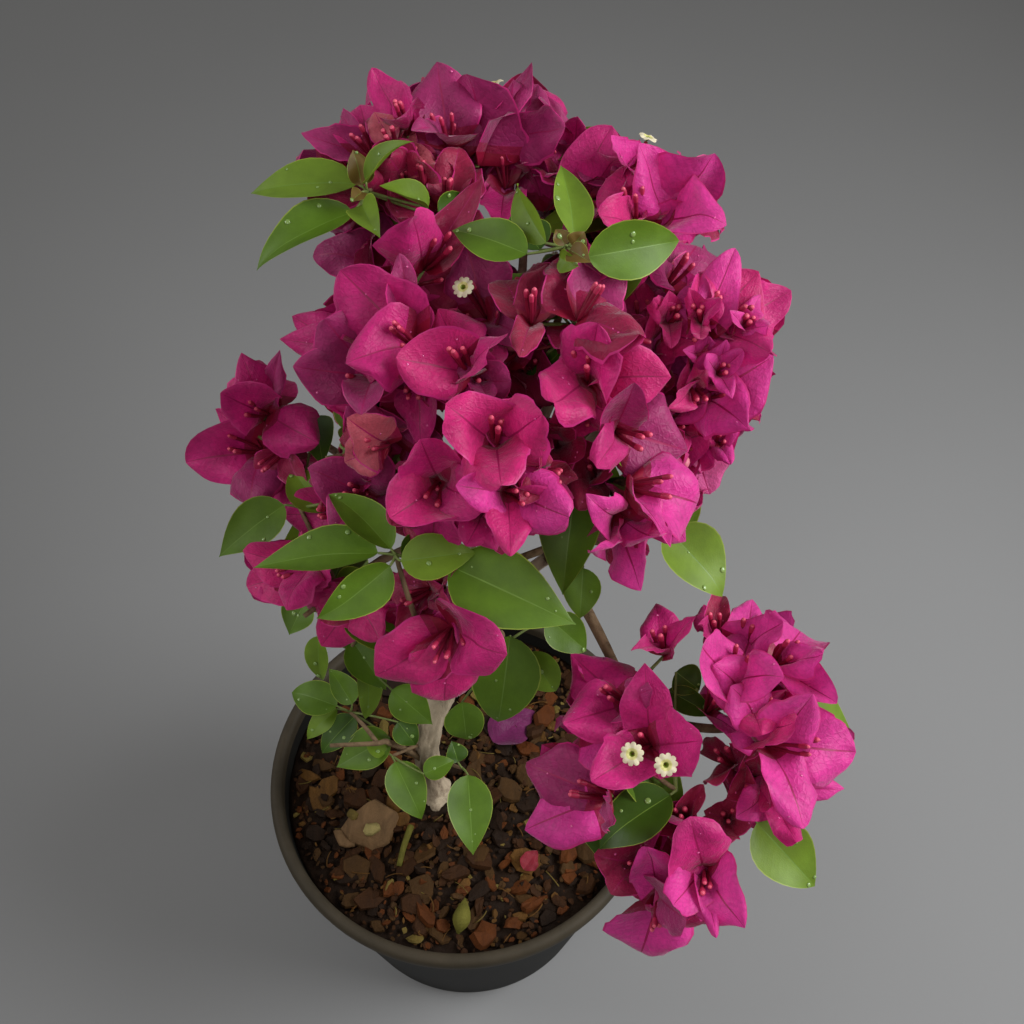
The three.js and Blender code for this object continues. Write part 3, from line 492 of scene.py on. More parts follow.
          ["magenta", "rose"], 1.0, 8),
    bloom("bloom_back_right", (664, 224), (681, 172), [(713, 155, 1.15), (719, 212), (640, 146, 0.8)],
          ["bright"], 1.15, 2),
    bloom("bloom_back_right", (632, 178), (646, 148), [(610, 138, 0.6), (660, 142, 0.6)],
          ["bright", "purple"], 0.8, -4, ((648, 137),), 0.008),
    # Arching side branch
    bloom("bloom_arch_left", (650, 746), (648, 742), [(645, 667, 0.8), (698, 741), (598, 777, 0.8)],
          ["magenta"], 1.05, 12, ((632, 754), (666, 765))),
    bloom("bloom_arch_left", (627, 706), (604, 688), [(573, 656), (565, 723), (642, 690, 0.6)],
          ["magenta", "purple"], 1.0, -8),
    bloom("bloom_arch_left", (612, 797), (569, 791), [(520, 762, 0.9), (524, 828, 0.95), (608, 830, 0.35)],
          ["purple", "bright"], 1.12, 2),
    bloom("bloom_arch_left", (664, 656), (658, 630), [(655, 598, 0.85), (689, 617, 0.6), (639, 642, 0.4)],
          ["deep", "magenta"], 0.8, -4),
    bloom("bloom_arch_right", (716, 640), (714, 615), [(705, 608, 0.7), (722, 589, 0.5), (700, 628, 0.6)],
          ["crimson", "magenta"], 0.75),
    bloom("bloom_arch_right", (733, 684), (748, 650), [(699, 645, 0.95), (759, 615, 0.9), (772, 672, 0.8)],
          ["bright", "magenta"], 1.08, 5),
    bloom("bloom_arch_right", (745, 655), (752, 620), [(753, 596, 0.8), (776, 622, 0.8)],
          ["bright"], 0.95, -4),
    bloom("bloom_arch_right", (772, 668), (794, 645), [(807, 623, 0.85), (822, 655, 0.55), (834, 699, 0.5)],
          ["bright"], 1.08),
    bloom("bloom_arch_right", (766, 744), (814, 750), [(855, 752, 1.05), (812, 700, 0.8), (808, 822, 0.75)],
          ["bright"], 1.15, 5),
    bloom("bloom_arch_right", (764, 788), (790, 800), [(796, 840, 0.6), (844, 790, 0.45), (744, 815, 0.6)],
          ["bright", "magenta"], 1.0, 1),
    bloom("bloom_arch_right", (762, 738), (776, 700), [(742, 690), (803, 682, 1.1), (790, 722, 0.8)],
          ["bright", "rose"], 1.0, 1),
    bloom("bloom_arch_right", (748, 700), (760, 672), [(722, 668, 0.9), (786, 660), (760, 726, 0.8)],
          ["rose", "bright"], 0.95, -2),
    bloom("bloom_arch_right", (756, 778), (746, 790), [(732, 796, 0.7), (770, 808, 0.7), (758, 750, 0.6)],
          ["rose", "crimson"], 0.75, 4),
    bloom("bloom_arch_right", (706, 713), (716, 690), [(735, 652, 0.5), (752, 741, 0.45)],
          ["bright"], 0.95, 4),
    bloom("bloom_arch_right", (735, 766), (720, 752), [(698, 736, 0.5), (706, 782, 0.5), (756, 744, 0.5),
          (750, 802, 0.6)], ["crimson", "deep"], 0.7, 6),
    bloom("bloom_arch_low", (728, 821), (728, 814), [(709, 812), (747, 815), (721, 840), (736, 799, 0.9)],
          ["crimson"], 0.52, 6),
    bloom("bloom_arch_low", (686, 820), (680, 812), [(651, 822, 0.8), (692, 838, 0.7), (700, 788, 0.5)],
          ["crimson", "deep"], 0.65, 4),
    bloom("bloom_arch_low", (660, 893), (655, 931), [(638, 964, 1.1), (682, 920, 0.7), (648, 852, 0.6)],
          ["purple", "bright"], 1.12, 1),
    bloom("bloom_arch_low", (640, 862), (626, 870), [(602, 858), (616, 886)], ["crimson", "deep"], 0.8, 3),
    bloom("bloom_arch_low", (704, 869), (706, 890), [(693, 829), (672, 906, 0.8), (738, 922),
          (716, 935, 0.35)], ["bright", "magenta"], 1.0, 7),
]


# Holes through the crown where the photograph shows the backdrop: pixel and reach in pixels
GAPS = [
    ((524, 181), 7), ((513, 213), 6), ((484, 208), 5), ((453, 435), 8), ((546, 411), 5), ((597, 433), 5),
    ((606, 496), 4), ((380, 470), 4), ((318, 448), 4), ((703, 796), 7), ((741, 729), 6), ((716, 692), 4),
    ((676, 690), 5),
]

# Places beside the crown that no blossom of the rule stands before, so that the photograph's outline
# is kept: pixel and reach in pixels
BESIDE = [
    ((350, 75), 22), ((520, 42), 18), ((562, 62), 24), ((612, 88), 20), ((655, 112), 16),
    ((752, 190), 20), ((744, 864), 12), ((788, 240), 26), ((818, 300), 24), ((818, 352), 38),
    ((802, 412), 34), ((788, 472), 38), ((764, 528), 30), ((285, 290), 28), ((255, 330), 16),
    ((162, 418), 14), ((200, 545), 26), ((220, 602), 24), ((232, 652), 20), ((524, 690), 34),
    ((500, 748), 24), ((884, 700), 24), ((872, 650), 28), ((890, 760), 20), ((706, 968), 20),
    ((786, 932), 24), ((588, 942), 24), ((590, 890), 18), ((270, 690), 24), ((330, 812), 34),
    ((380, 830), 30),
]


# Small vector tools
def unit(vector):
    return vector / np.linalg.norm(vector)


def side_of(direction):
    """A way square to a direction, level unless the direction is nearly upright."""
    nearly_upright = 0.9
    helper = UP if abs(direction[2]) < nearly_upright else np.array([1.0, 0.0, 0.0])
    return unit(np.cross(helper, direction))


def square_to(vector, axis):
    return unit(vector - axis * np.dot(vector, axis))


def swung(start, end, turn):
    """The way at a turn from one way towards another that is square to it."""
    return start * math.cos(turn) + end * math.sin(turn)


def angle_between(first, second):
    return math.acos(min(max(first @ second, -1), 1))


def ring_turns(count):
    """Even turns once round."""
    return np.arange(count) / count * FULL_TURN


def circle(turns, east, north):
    """Unit ways at the turns from the east towards the north."""
    return np.outer(np.cos(turns), east) + np.outer(np.sin(turns), north)


def bezier(start, middle, end, steps):
    share = np.linspace(0, 1, steps + 1)[:, None]
    return start * (1 - share) ** 2 + middle * 2 * share * (1 - share) + end * share ** 2


def smooth_path(points, steps):
    """A Catmull-Rom curve through the points."""
    points = np.asarray(points, float)
    padded = np.vstack([2 * points[0] - points[1], points, 2 * points[-1] - points[-2]])
    result = []
    for place in np.linspace(0, len(points) - 1, steps):
        index = min(int(place), len(points) - 2)
        share = place - index
        p0, p1, p2, p3 = padded[index:index + 4]
        result.append(0.5 * (2 * p1 + (p2 - p0) * share + (2 * p0 - 5 * p1 + 4 * p2 - p3) * share ** 2
                             + (3 * p1 - p0 - 3 * p2 + p3) * share ** 3))
    return np.array(result)


def twig_path(foot, end, bow, steps=7):
    return bezier(foot, (foot + end) / 2 + bow, end, steps)


def draws(seed):
    """The source's repeatable stream of numbers from 0 to 1."""
    mask = 0xFFFFFFFF
    step = 0x6D2B79F5
    state = seed & mask

    def draw():
        nonlocal state
        state = (state + step) & mask
        mixed = ((state ^ (state >> 15)) * (1 | state)) & mask
        mixed = ((mixed + (((mixed ^ (mixed >> 7)) * (61 | mixed)) & mask)) & mask) ^ mixed
        return (mixed ^ (mixed >> 14)) / (mask + 1)

    return draw


# Points and pixels of the photograph
def seen_at(pixel, height):
    """The point at a height that the photograph shows at a pixel."""
    right = np.array([(pixel[0] - HALF_PHOTO) / FOCAL_PIXELS, 0, 0])
    ray = CAMERA_WAY + right + CAMERA_UP * (HALF_PHOTO - pixel[1]) / FOCAL_PIXELS
    return CAMERA_AT + ray * (height - CAMERA_AT[2]) / ray[2]


def depth_of(points):
    """How far the points lie in front of the photograph's camera."""
    away = points - CAMERA_AT
    return away[..., 1] * CAMERA_WAY[1] + away[..., 2] * CAMERA_WAY[2]


def pixels_of(points):
    """Where the photograph's camera sees the points."""
    away = points - CAMERA_AT
    rise = away[..., 1] * CAMERA_UP[1] + away[..., 2] * CAMERA_UP[2]
    depth = depth_of(points)
    pixel_x = HALF_PHOTO + away[..., 0] / depth * FOCAL_PIXELS
    pixel_y = HALF_PHOTO - rise / depth * FOCAL_PIXELS
    return np.stack([pixel_x, pixel_y], axis=-1)


def sight_line(pixel, point):
    """The way from the camera through a pixel, and the place on that line nearest to a point."""
    way = unit(seen_at(pixel, 0) - CAMERA_AT)
    return way, CAMERA_AT + way * ((point - CAMERA_AT) @ way)


def on_dome(crown, pixel, near):
    """The point seen at a pixel on the dome that a mass's blossoms sit on, or the nearest to it, brought
    nearer the camera by some millimetres."""
    way, foot = sight_line(pixel, crown["at"])
    dome = crown["reach"] - BRACT_LENGTH * PLACED_INSET
    inside = dome ** 2 - np.sum((foot - crown["at"]) ** 2)
    return foot - way * (math.sqrt(max(inside, 0)) + near)


def reached(base, pixel, length):
    """The two points seen at a pixel that lie a length away from the base, the nearer one first. Where
    the pixel is out of reach, both are the point towards it that an overlong bract can reach."""
    way, foot = sight_line(pixel, base)
    apart = np.linalg.norm(foot - base)
    if apart > length:
        capped = base + (foot - base) * min(1, length * OVERLONG / apart)
        return capped, capped
    shift = way * math.sqrt(length ** 2 - apart ** 2)
    return foot - shift, foot + shift


class FrontView:
    """How near the camera the placed blades stand, in small cells of the photograph."""
    CELL = 5
    SLACK = 1

    def __init__(self):
        count = PHOTO_SIZE // self.CELL + 1
        self.depths = np.full((count, count), np.inf)

    def cells(self, points):
        seen = np.clip(pixels_of(points) / self.CELL, 0, len(self.depths) - 1).astype(int)
        return seen[..., 1].ravel(), seen[..., 0].ravel()

    def mark(self, sheet):
        """Take in a blade, with a point between each two of its own."""
        finer = np.repeat(np.repeat(sheet, 2, axis=0), 2, axis=1)[:-1, :-1]
        finer[1::2] = (finer[:-1:2] + finer[2::2]) / 2
        finer[:, 1::2] = (finer[:, :-1:2] + finer[:, 2::2]) / 2
        np.minimum.at(self.depths, self.cells(finer), depth_of(finer).ravel())

    def share_hiding(self, points):
        """The share of the points that stand before a placed blade."""
        return np.mean(depth_of(points).ravel() < self.depths[self.cells(points)] + self.SLACK)


PLACED = FrontView()
MOST_HIDING = 0.08


def keeps_clear(points):
    """Whether a blade leaves the gaps, the outline and the placed blades as the photograph shows them."""
    seen = pixels_of(points).reshape(-1, 2)
    for at, reach in GAPS + BESIDE:
        if np.min(np.hypot(seen[:, 0] - at[0], seen[:, 1] - at[1])) < reach:
            return False
    return PLACED.share_hiding(points) < MOST_HIDING


class Joined:
    """One joined mesh in the making: points, faces of four and of three corners, a kind of material for
    each face, and a place on its own blade or tube for each point."""

    def __init__(self, kinds):
        self.kinds = kinds
        self.points = []
        self.places = []
        self.faces = {4: [], 3: []}
        self.face_kinds = {4: [], 3: []}
        self.count = 0

    def take(self, points, places=None):
        """Take in points, without a place unless places are given. It tells the first one's number."""
        first = self.count
        points = np.reshape(points, (-1, 3))
        self.points.append(points)
        self.places.append(np.zeros((len(points), 2)) if places is None else np.reshape(places, (-1, 2)))
        self.count += len(points)
        return first

    def cover(self, faces, names, each=1):
        """Take in faces, with the name of a kind for every few of them."""
        corners = faces.shape[-1]
        self.faces[corners] += faces.reshape(-1, corners).tolist()
        kinds = [self.kinds.index(name) for name in names]
        self.face_kinds[corners] += np.repeat(kinds, each).tolist()

    def add_grid(self, points, column_kinds, row_kinds=None, places=None):
        """Rows and columns of points as a sheet. The kinds are named for each column, and a row may
        name one that takes its place."""
        rows, columns = points.shape[:2]
        index = np.arange(rows * columns).reshape(rows, columns) + self.take(points, places)
        quads = np.stack([index[:-1, :-1], index[:-1, 1:], index[1:, 1:], index[1:, :-1]], axis=-1)
        names = []
        for row in range(rows - 1):
            over = (row_kinds or {}).get(row)
            names += [over] * (columns - 1) if over else column_kinds
        self.cover(quads, names)

    def add_tube(self, path, radii, sides, kind, wobble=None):
        """A closed tube along a path, with rounded ends where its end radii are small. It has one kind,
        or a list with one for each stretch."""
        path = np.asarray(path, float)
        stations = len(path)
        along = np.gradient(path, axis=0)
        along /= np.linalg.norm(along, axis=1)[:, None]
        side = side_of(along[0])
        turns = ring_turns(sides)
        rings = []
        for station in range(stations):
            side = square_to(side, along[station])
            reach = radii[station] if wobble is None else radii[station] + wobble[station]
            ring = circle(turns, side, np.cross(along[station], side))
            rings.append(path[station] + ring * np.reshape(reach, (-1, 1)))
        shares = np.meshgrid(np.linspace(0, 1, stations), np.arange(sides) / sides, indexing="ij")
        index = np.arange(stations * sides).reshape(stations, sides)
        index += self.take(rings, np.stack(shares, axis=-1))
        foot = np.full(sides, self.take([path[0], path[-1]], [[0.0, 0.0], [1.0, 0.0]]))
        around = np.roll(index, -1, axis=1)
        names = [kind] * (stations - 1) if isinstance(kind, str) else kind
        self.cover(np.stack([index[:-1], around[:-1], around[1:], index[1:]], axis=-1), names, sides)
        caps = np.vstack([np.stack([foot, around[0], index[0]], axis=-1),
                          np.stack([foot + 1, index[-1], around[-1]], axis=-1)])
        self.cover(caps, [names[0], names[-1]], sides)

    def add_twig(self, path, radii, kind="twig", sides=6):
        """A tube that tapers along a path from its first radius to its last."""
        self.add_tube(path, np.linspace(*radii, len(path)), sides, kind)

    def add_body(self, points, tris, kind):
        """A small body of its own from points and triangles."""
        self.cover(tris + self.take(points), [kind], len(tris))

    def object(self, name, materials, slot, replaced=(), smooth=True):
        """The finished piece, in the place of the solids that it replaces."""
        mesh = bpy.data.meshes.new(name)
        faces = self.faces[4] + self.faces[3]
        mesh.from_pydata(np.concatenate(self.points) * MM, [], faces)
        mesh.polygons.foreach_set("material_index", self.face_kinds[4] + self.face_kinds[3])
        mesh.polygons.foreach_set("use_smooth", [smooth] * len(faces))
        layer = mesh.uv_layers.new(name="place")
        point_of = np.empty(len(mesh.loops), dtype=np.int32)
        mesh.loops.foreach_get("vertex_index", point_of)
        layer.data.foreach_set("uv", np.concatenate(self.places)[point_of].astype(np.float32).ravel())
        for kind in self.kinds:
            mesh.materials.append(materials[kind])
        mesh.update()
        piece = bpy.data.objects.new(name, mesh)
        bpy.context.scene.collection.objects.link(piece)
        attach(piece, "root")
        if replaced:
            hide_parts(*replaced)
        return piece


def stacked_body(rings, low, high):
    """The points and triangles of a body of stacked rings, closed at a low and a high point."""
    count = len(rings[0])
    each = np.arange(count)
    following = np.roll(each, -1)
    top_ring = (len(rings) - 1) * count
    tris = []
    for first in range(0, top_ring, count):
        a, b = first + each, first + following
        tris += [np.stack([a, b, b + count], axis=-1), np.stack([a, b + count, a + count], axis=-1)]
    bottom = np.full(count, top_ring + count)
    tris.append(np.stack([bottom, following, each], axis=-1))
    tris.append(np.stack([bottom + 1, top_ring + each, top_ring + following], axis=-1))
    return np.vstack([*rings, low, high]), np.vstack(tris)


# Materials
class Nodes:
    """A material with a Principled shader, and short ways to add nodes to it."""

    def __init__(self, name):
        self.material = bpy.data.materials.new(name)
        self.material.use_nodes = True
        self.tree = self.material.node_tree
        self.shader = self.tree.nodes["Principled BSDF"]
        self.output = self.tree.nodes["Material Output"]

    def add(self, kind, **values):
        node = self.tree.nodes.new(kind)
        for key, value in values.items():
            setattr(node, key, value)
        return node

    def link(self, start, end):
        self.tree.links.new(start, end)

    def coords(self, stretch=(1, 1, 1), source="Object"):
        place = self.add("ShaderNodeTexCoord")
        mapping = self.add("ShaderNodeMapping")
        mapping.inputs["Scale"].default_value = stretch
        self.link(place.outputs[source], mapping.inputs["Vector"])
        return mapping.outputs["Vector"]

    def noise(self, scale, detail=3, roughness=0.55, stretch=(1, 1, 1), distortion=0):
        node = self.add("ShaderNodeTexNoise")
        node.inputs["Scale"].default_value = scale
        node.inputs["Detail"].default_value = detail
        node.inputs["Roughness"].default_value = roughness
        node.inputs["Distortion"].default_value = distortion
        self.link(self.coords(stretch), node.inputs["Vector"])
        return node.outputs["Fac"]

    def ramp(self, value, low, low_color, high, high_color, middle=()):
        """Colours from a low to a high value, with a share and colour between them if one is given."""
        node = self.add("ShaderNodeValToRGB")
        stops = [(low, low_color), *middle, (high, high_color)]
        ramp = node.color_ramp
        while len(ramp.elements) < len(stops):
            ramp.elements.new(0.5)
        for element, (position, color) in zip(ramp.elements, stops):
            element.position = position
            element.color = (*color, 1)
        self.link(value, node.inputs["Fac"])
        return node.outputs["Color"]

    def calc(self, operation, first, second=0):
        node = self.add("ShaderNodeMath", operation=operation)
        for socket, value in zip(node.inputs, (first, second)):
            if isinstance(value, (int, float)):
                socket.default_value = value
            else:
                self.link(value, socket)
        return node.outputs["Value"]

    def plus(self, first, second, share):
        """One value and a share of another."""
        return self.calc("ADD", first, self.calc("MULTIPLY", second, share))

    def surface(self, tone, roughness, specular):
        self.link(tone, self.shader.inputs["Base Color"])
        self.shader.inputs["Roughness"].default_value = roughness
        self.shader.inputs["Specular IOR Level"].default_value = specular

    def bump(self, height, strength, distance):
        node = self.add("ShaderNodeBump")
        node.inputs["Strength"].default_value = strength
        node.inputs["Distance"].default_value = distance
        self.link(height, node.inputs["Height"])
        self.link(node.outputs["Normal"], self.shader.inputs["Normal"])
        return node.outputs["Normal"]

    def see_through(self, color, share, normal):
        """Light that passes through a thin blade."""
        glow = self.add("ShaderNodeBsdfTranslucent")
        mix = self.add("ShaderNodeMixShader")
        mix.inputs["Fac"].default_value = share
        self.link(color, glow.inputs["Color"])
        self.link(normal, glow.inputs["Normal"])
        self.link(self.shader.outputs["BSDF"], mix.inputs[1])
        self.link(glow.outputs["BSDF"], mix.inputs[2])
        self.link(mix.outputs["Shader"], self.output.inputs["Surface"])


def linear(red, green, blue):
    """An 8-bit display colour as a linear one."""
    def one(value):
        value /= 255
        return value / 12.92 if value <= 0.04045 else ((value + 0.055) / 1.055) ** 2.4
    return (one(red), one(green), one(blue))


def shade(color, factor):
    return tuple(min(channel * factor, 1) for channel in color)


def vein_height(nodes, pairs, fineness):
    """Side veins that leave the midrib at a slant, and a net of fine veins between them."""
    place = nodes.add("ShaderNodeSeparateXYZ")
    nodes.link(nodes.coords(source="UV"), place.inputs["Vector"])
    away = nodes.calc("ABSOLUTE", place.outputs["Y"])
    slant = nodes.calc("SUBTRACT", place.outputs["X"], nodes.calc("MULTIPLY", away, 0.22))
    wave = nodes.calc("SINE", nodes.calc("MULTIPLY", slant, pairs * FULL_TURN))
    ridge = nodes.calc("POWER", nodes.calc("ABSOLUTE", wave), 0.5)
    net = nodes.add("ShaderNodeTexVoronoi", feature="DISTANCE_TO_EDGE")
    net.inputs["Scale"].default_value = fineness
    nodes.link(nodes.coords((1, 0.5, 1), "UV"), net.inputs["Vector"])
    cells = nodes.calc("MINIMUM", nodes.calc("MULTIPLY", net.outputs["Distance"], 4), 0.5)
    return nodes.plus(cells, ridge, 0.5)


def bract_material(name, color, through):
    """A papery bract, whose tone and relief follow its veins and a fine crinkle."""
    nodes = Nodes(name)
    drift = nodes.plus(nodes.noise(110, 6, 0.7), vein_height(nodes, 6.5, 9), 0.16)
    tone = nodes.ramp(drift, 0.36, shade(color, 0.7), 0.8, shade(color, 1.22))
    nodes.surface(tone, 0.5, 0.35)
    nodes.shader.inputs["Sheen Weight"].default_value = 0.3
    nodes.shader.inputs["Sheen Roughness"].default_value = 0.4
    crinkle = nodes.plus(nodes.noise(700, 3, 0.6), nodes.noise(220, 3, 0.6), 1.3)
    relief = nodes.plus(crinkle, vein_height(nodes, 4.5, 12), 0.6)
    nodes.see_through(tone, through, nodes.bump(relief, 0.46, 0.0006))
    return nodes.material


def leaf_material(name, color, roughness):
    """A leaf, smoother than a bract, with its veins in low relief."""
    nodes = Nodes(name)
    tone = nodes.ramp(nodes.noise(70, 4, 0.6), 0.3, shade(color, 0.8), 0.7, shade(color, 1.18))
    nodes.surface(tone, roughness, 0.32)
    relief = nodes.plus(vein_height(nodes, 5, 20), nodes.noise(160), 0.6)
    nodes.see_through(tone, 0.2, nodes.bump(relief, 0.12, 0.0003))
    return nodes.material


def plain_material(name, color, roughness, spread, scale, bump=0.0, through=0.0, specular=0.4):
    """A surface of nearly one colour, with a soft drift in tone and a fine relief."""
    nodes = Nodes(name)
    drift = nodes.noise(scale, 4, 0.6)
    tone = nodes.ramp(drift, 0.3, shade(color, 1 - spread), 0.7, shade(color, 1 + spread))
    nodes.surface(tone, roughness, specular)
    if bump:
        normal = nodes.bump(nodes.noise(scale * 4, 4, 0.6), bump, 0.0006)
        if through:
            nodes.see_through(tone, through, normal)
    return nodes.material


def bark_material(name, light, dark, scale, bump):
    """Bark with furrows that run along the limb, dark where they are deep."""
    nodes = Nodes(name)
    furrows = nodes.noise(scale, 6, 0.65, (1, 1, 0.22), distortion=0.4)
    tone = nodes.ramp(furrows, 0.28, dark, 0.72, light, [(0.5, shade(light, 0.8))])
    nodes.surface(tone, 0.85, 0.25)
    nodes.bump(nodes.plus(furrows, nodes.noise(scale * 6, 4, 0.6), 0.35), bump, 0.0012)
    return nodes.material


def plastic_material(name, color, dust):
    """Moulded plastic, dustier where the noise is high, with a fine orange-peel surface."""
    nodes = Nodes(name)
    nodes.surface(nodes.ramp(nodes.noise(26, 6, 0.7), 0.35, color, 0.75, dust), 0.65, 0.22)
    nodes.bump(nodes.noise(900, 3, 0.5), 0.12, 0.0003)
    return nodes.material


def chip_material(name, color):
    """A chip of bark with a coarse grain along it."""
    nodes = Nodes(name)
    grain = nodes.noise(180, 5, 0.65, (1, 0.25, 1), distortion=0.5)
    nodes.surface(nodes.ramp(grain, 0.3, shade(color, 0.6), 0.7, shade(color, 1.12)), 0.75, 0.18)
    nodes.bump(nodes.calc("ADD", grain, nodes.noise(900, 4, 0.6)), 0.7, 0.0008)
    return nodes.material


# For each kind: the material's name and display colour, and the share of light that a bract lets through
BRACT_TONES = {
    "magenta": ("bract_magenta", (196, 30, 116), 0.28),
    "rose": ("bract_rose", (201, 33, 113), 0.28),
    # purple: a darker, bluer copy of magenta for bracts in shade, painted shade
    "purple": ("bract_purple", (162, 39, 103), 0.28),
    # bright and pink: lit copies of magenta, painted light where the key light falls; pink is partly also
    # the paler outer side of a bract
    "bright": ("bract_bright", (216, 54, 148), 0.28),
    "pink": ("bract_pink", (226, 96, 160), 0.28),
    # deep: a dark copy for bracts set back inside the crown and for the foot of each bract, painted shade
    "deep": ("bract_deep", (150, 18, 68), 0.28),
    "crimson": ("bract_crimson", (152, 25, 66), 0.22),
    "russet": ("bract_russet", (188, 82, 98), 0.22),
    "fallen_red": ("bract_fallen_red", (172, 36, 84), 0.22),
    "violet": ("fallen_violet", (112, 26, 84), 0.28),
    "red": ("fallen_red_petal", (140, 28, 46), 0.28),
}
# The same with the roughness of a leaf
LEAF_TONES = {
    "leaf": ("leaf_green", (88, 120, 28), 0.48),
    "leaf_light": ("leaf_light", (106, 134, 36), 0.48),
    "leaf_dark": ("leaf_dark", (60, 90, 22), 0.4),
    "leaf_young": ("leaf_young", (108, 86, 38), 0.5),
}
# The same with the roughness, the spread of the tone, its fineness, the relief, the share of light let
# through and the specular level
PLAIN_TONES = {
    # edge: a painted highlight along the rolled edges of every bract. inner: painted shade in the first rows
    # of a bract, inside its blossom's cup.
    "edge": ("bract_edge", (203, 46, 126), 0.5, 0.15, 200, 0.2, 0.25),
    "inner": ("bract_inner", (140, 16, 50), 0.5, 0.2, 200, 0.2, 0.15),
    "rib": ("bract_rib", (156, 20, 84), 0.5, 0.15, 200, 0.2, 0.15),
    "tube": ("flower_tube", (122, 16, 46), 0.45, 0.2, 260, 0.3),
    "tube_tip": ("flower_tube_tip", (168, 38, 74), 0.45, 0.2, 260, 0.3),
    "tube_end": ("flower_tube_end", (214, 82, 110), 0.45, 0.15, 260, 0.3),
    "bud": ("flower_bud", (206, 110, 128), 0.45, 0.15, 200, 0.3),
    "petal": ("flower_petal", (232, 224, 190), 0.5, 0.06, 260, 0.2, 0.2),
    "pale": ("flower_pale", (222, 220, 140), 0.5, 0.06, 260, 0.2, 0.2),
    "throat": ("flower_throat", (120, 132, 36), 0.5, 0.1, 260, 0.2),
    "leaf_rib": ("leaf_rib", (104, 136, 50), 0.4, 0.1, 200, 0.1, 0.15),
    "leaf_edge": ("leaf_edge", (140, 158, 56), 0.4, 0.1, 200, 0.1, 0.15),
    "twig": ("twig_green", (104, 118, 58), 0.6, 0.25, 300, 0.4),
    "stalk": ("stalk_red", (122, 40, 44), 0.55, 0.2, 300, 0.3),
    # Dew drops are opaque domes in a paler tint of the blade under them: painted reflection for clear water
    "dew_leaf": ("dew_on_leaf", (122, 150, 78), 0.08, 0.1, 300, 0.0, 0.0, 0.6),
    "dew_bract": ("dew_on_bract", (214, 90, 150), 0.08, 0.1, 300, 0.0, 0.0, 0.6),
}
CHIP_TONES = {
    "chip_dark": ("mix_chip_dark", (57, 32, 10)),
    "chip_rust": ("mix_chip_rust", (86, 44, 12)),
    "chip_tan": ("mix_chip_tan", (95, 64, 25)),
    "chip_grey": ("mix_chip_grey", (68, 45, 18)),
    "chip_black": ("mix_chip_black", (33, 18, 5)),
    "chip_stone": ("mix_chip_stone", (108, 91, 42)),
    "chip_pale": ("mix_chip_pale", (122, 94, 64)),
    "pebble": ("mix_pebble", (172, 156, 98)),
    "moss": ("mix_moss", (110, 106, 42)),
}


def make_materials():
    tables = ((bract_material, BRACT_TONES), (leaf_material, LEAF_TONES),
              (plain_material, PLAIN_TONES), (chip_material, CHIP_TONES))
    made = {}
    for make, table in tables:
        for kind, (name, tone, *looks) in table.items():
            made[kind] = make(name, linear(*tone), *looks)
    made["bark"] = bark_material("bark_grey", linear(196, 178, 152), linear(100, 82, 64), 120, 0.9)
    made["young_bark"] = bark_material("bark_young", linear(136, 112, 84), linear(78, 60, 42), 240, 0.6)
    made["pot"] = plastic_material("pot_plastic", linear(21, 21, 19), linear(29, 28, 25))
    made["pot_rim"] = plastic_material("pot_rim", linear(52, 46, 35), linear(70, 62, 49))
    return made


# Limbs, laid out by the source's rule
def trunk_radius(height):
    heights = TRUNK_PATH[:, 2]
    share = (height - heights[0]) / (heights[-1] - heights[0])
    return TRUNK_FOOT_RADIUS + (TRUNK_TOP_RADIUS - TRUNK_FOOT_RADIUS) * math.sqrt(min(max(share, 0), 1))


def trunk_point(height):
    heights = TRUNK_PATH[:, 2]
    return np.array([np.interp(height, heights, TRUNK_PATH[:, axis]) for axis in range(3)])


def along_path(path, share):
    place = share * (len(path) - 1)
    index = min(int(place), len(path) - 2)
    return path[index] + (path[index + 1] - path[index]) * (place - index)


def outward_of(cluster):
    return unit(cluster["at"] - cluster["heart"])


def stem_point(cluster, share):
    """A point on the stem that runs outward through a mass."""
    along = STEM_START + (STEM_END - STEM_START) * share
    return cluster["at"] + outward_of(cluster) * cluster["reach"] * along


def lay_out_limbs():
    limbs = {"trunk": {"path": TRUNK_PATH}}
    for one in BOUGHS:
        if one["follows"]:
            before = limbs[one["follows"]]
            start = before["path"][-1] + before["aim"] * before["radius"] * BEND_OVERLAP
        else:
            start = along_path(limbs[one["parent"]]["path"], one["share"])
        crown = MASS_NAMED.get(one["crown"])
        tip = stem_point(crown, TIP_SHARE) if crown else np.array(one["tip"], float)
        approach = unit(tip - start)
        if crown:
            approach = unit(approach + outward_of(crown))
        apart = np.linalg.norm(tip - start)
        middle = tip - approach * apart * APPROACH + one["bow"]
        path = bezier(start, middle, tip, max(3, round(apart / STATION_STEP)))
        limbs[one["name"]] = {
            "path": path, "aim": unit(path[-1] - path[-2]), "curve": (start, middle, tip),
            "radius": one["radius"], "tip_radius": TIP_RADIUS if crown else one["radius"] * BEND_TAPER,
        }
    return limbs


LIMBS = lay_out_limbs()
LIMB_OF = {one["crown"]: LIMBS[one["name"]] for one in BOUGHS if one["crown"]}


def bark_wobble(path, sides, furrow, knot, seed):
    """How far bark stands out at each corner of each ring: long furrows, broader knots and fine grain."""
    def drawn(turn, height, around, rise):
        return noise.noise(Vector((math.cos(turn) * around, math.sin(turn) * around, height * rise + seed)))

    result = np.empty((len(path), sides))
    for station, at in enumerate(path):
        for corner, turn in enumerate(ring_turns(sides)):
            result[station, corner] = (knot * drawn(turn, at[2], 1.6, 0.05)
                                       + furrow * abs(drawn(turn, at[2], 5, 0.06)) * -1.6
                                       + furrow * 0.35 * drawn(turn, at[2], 9, 0.5))
    return result


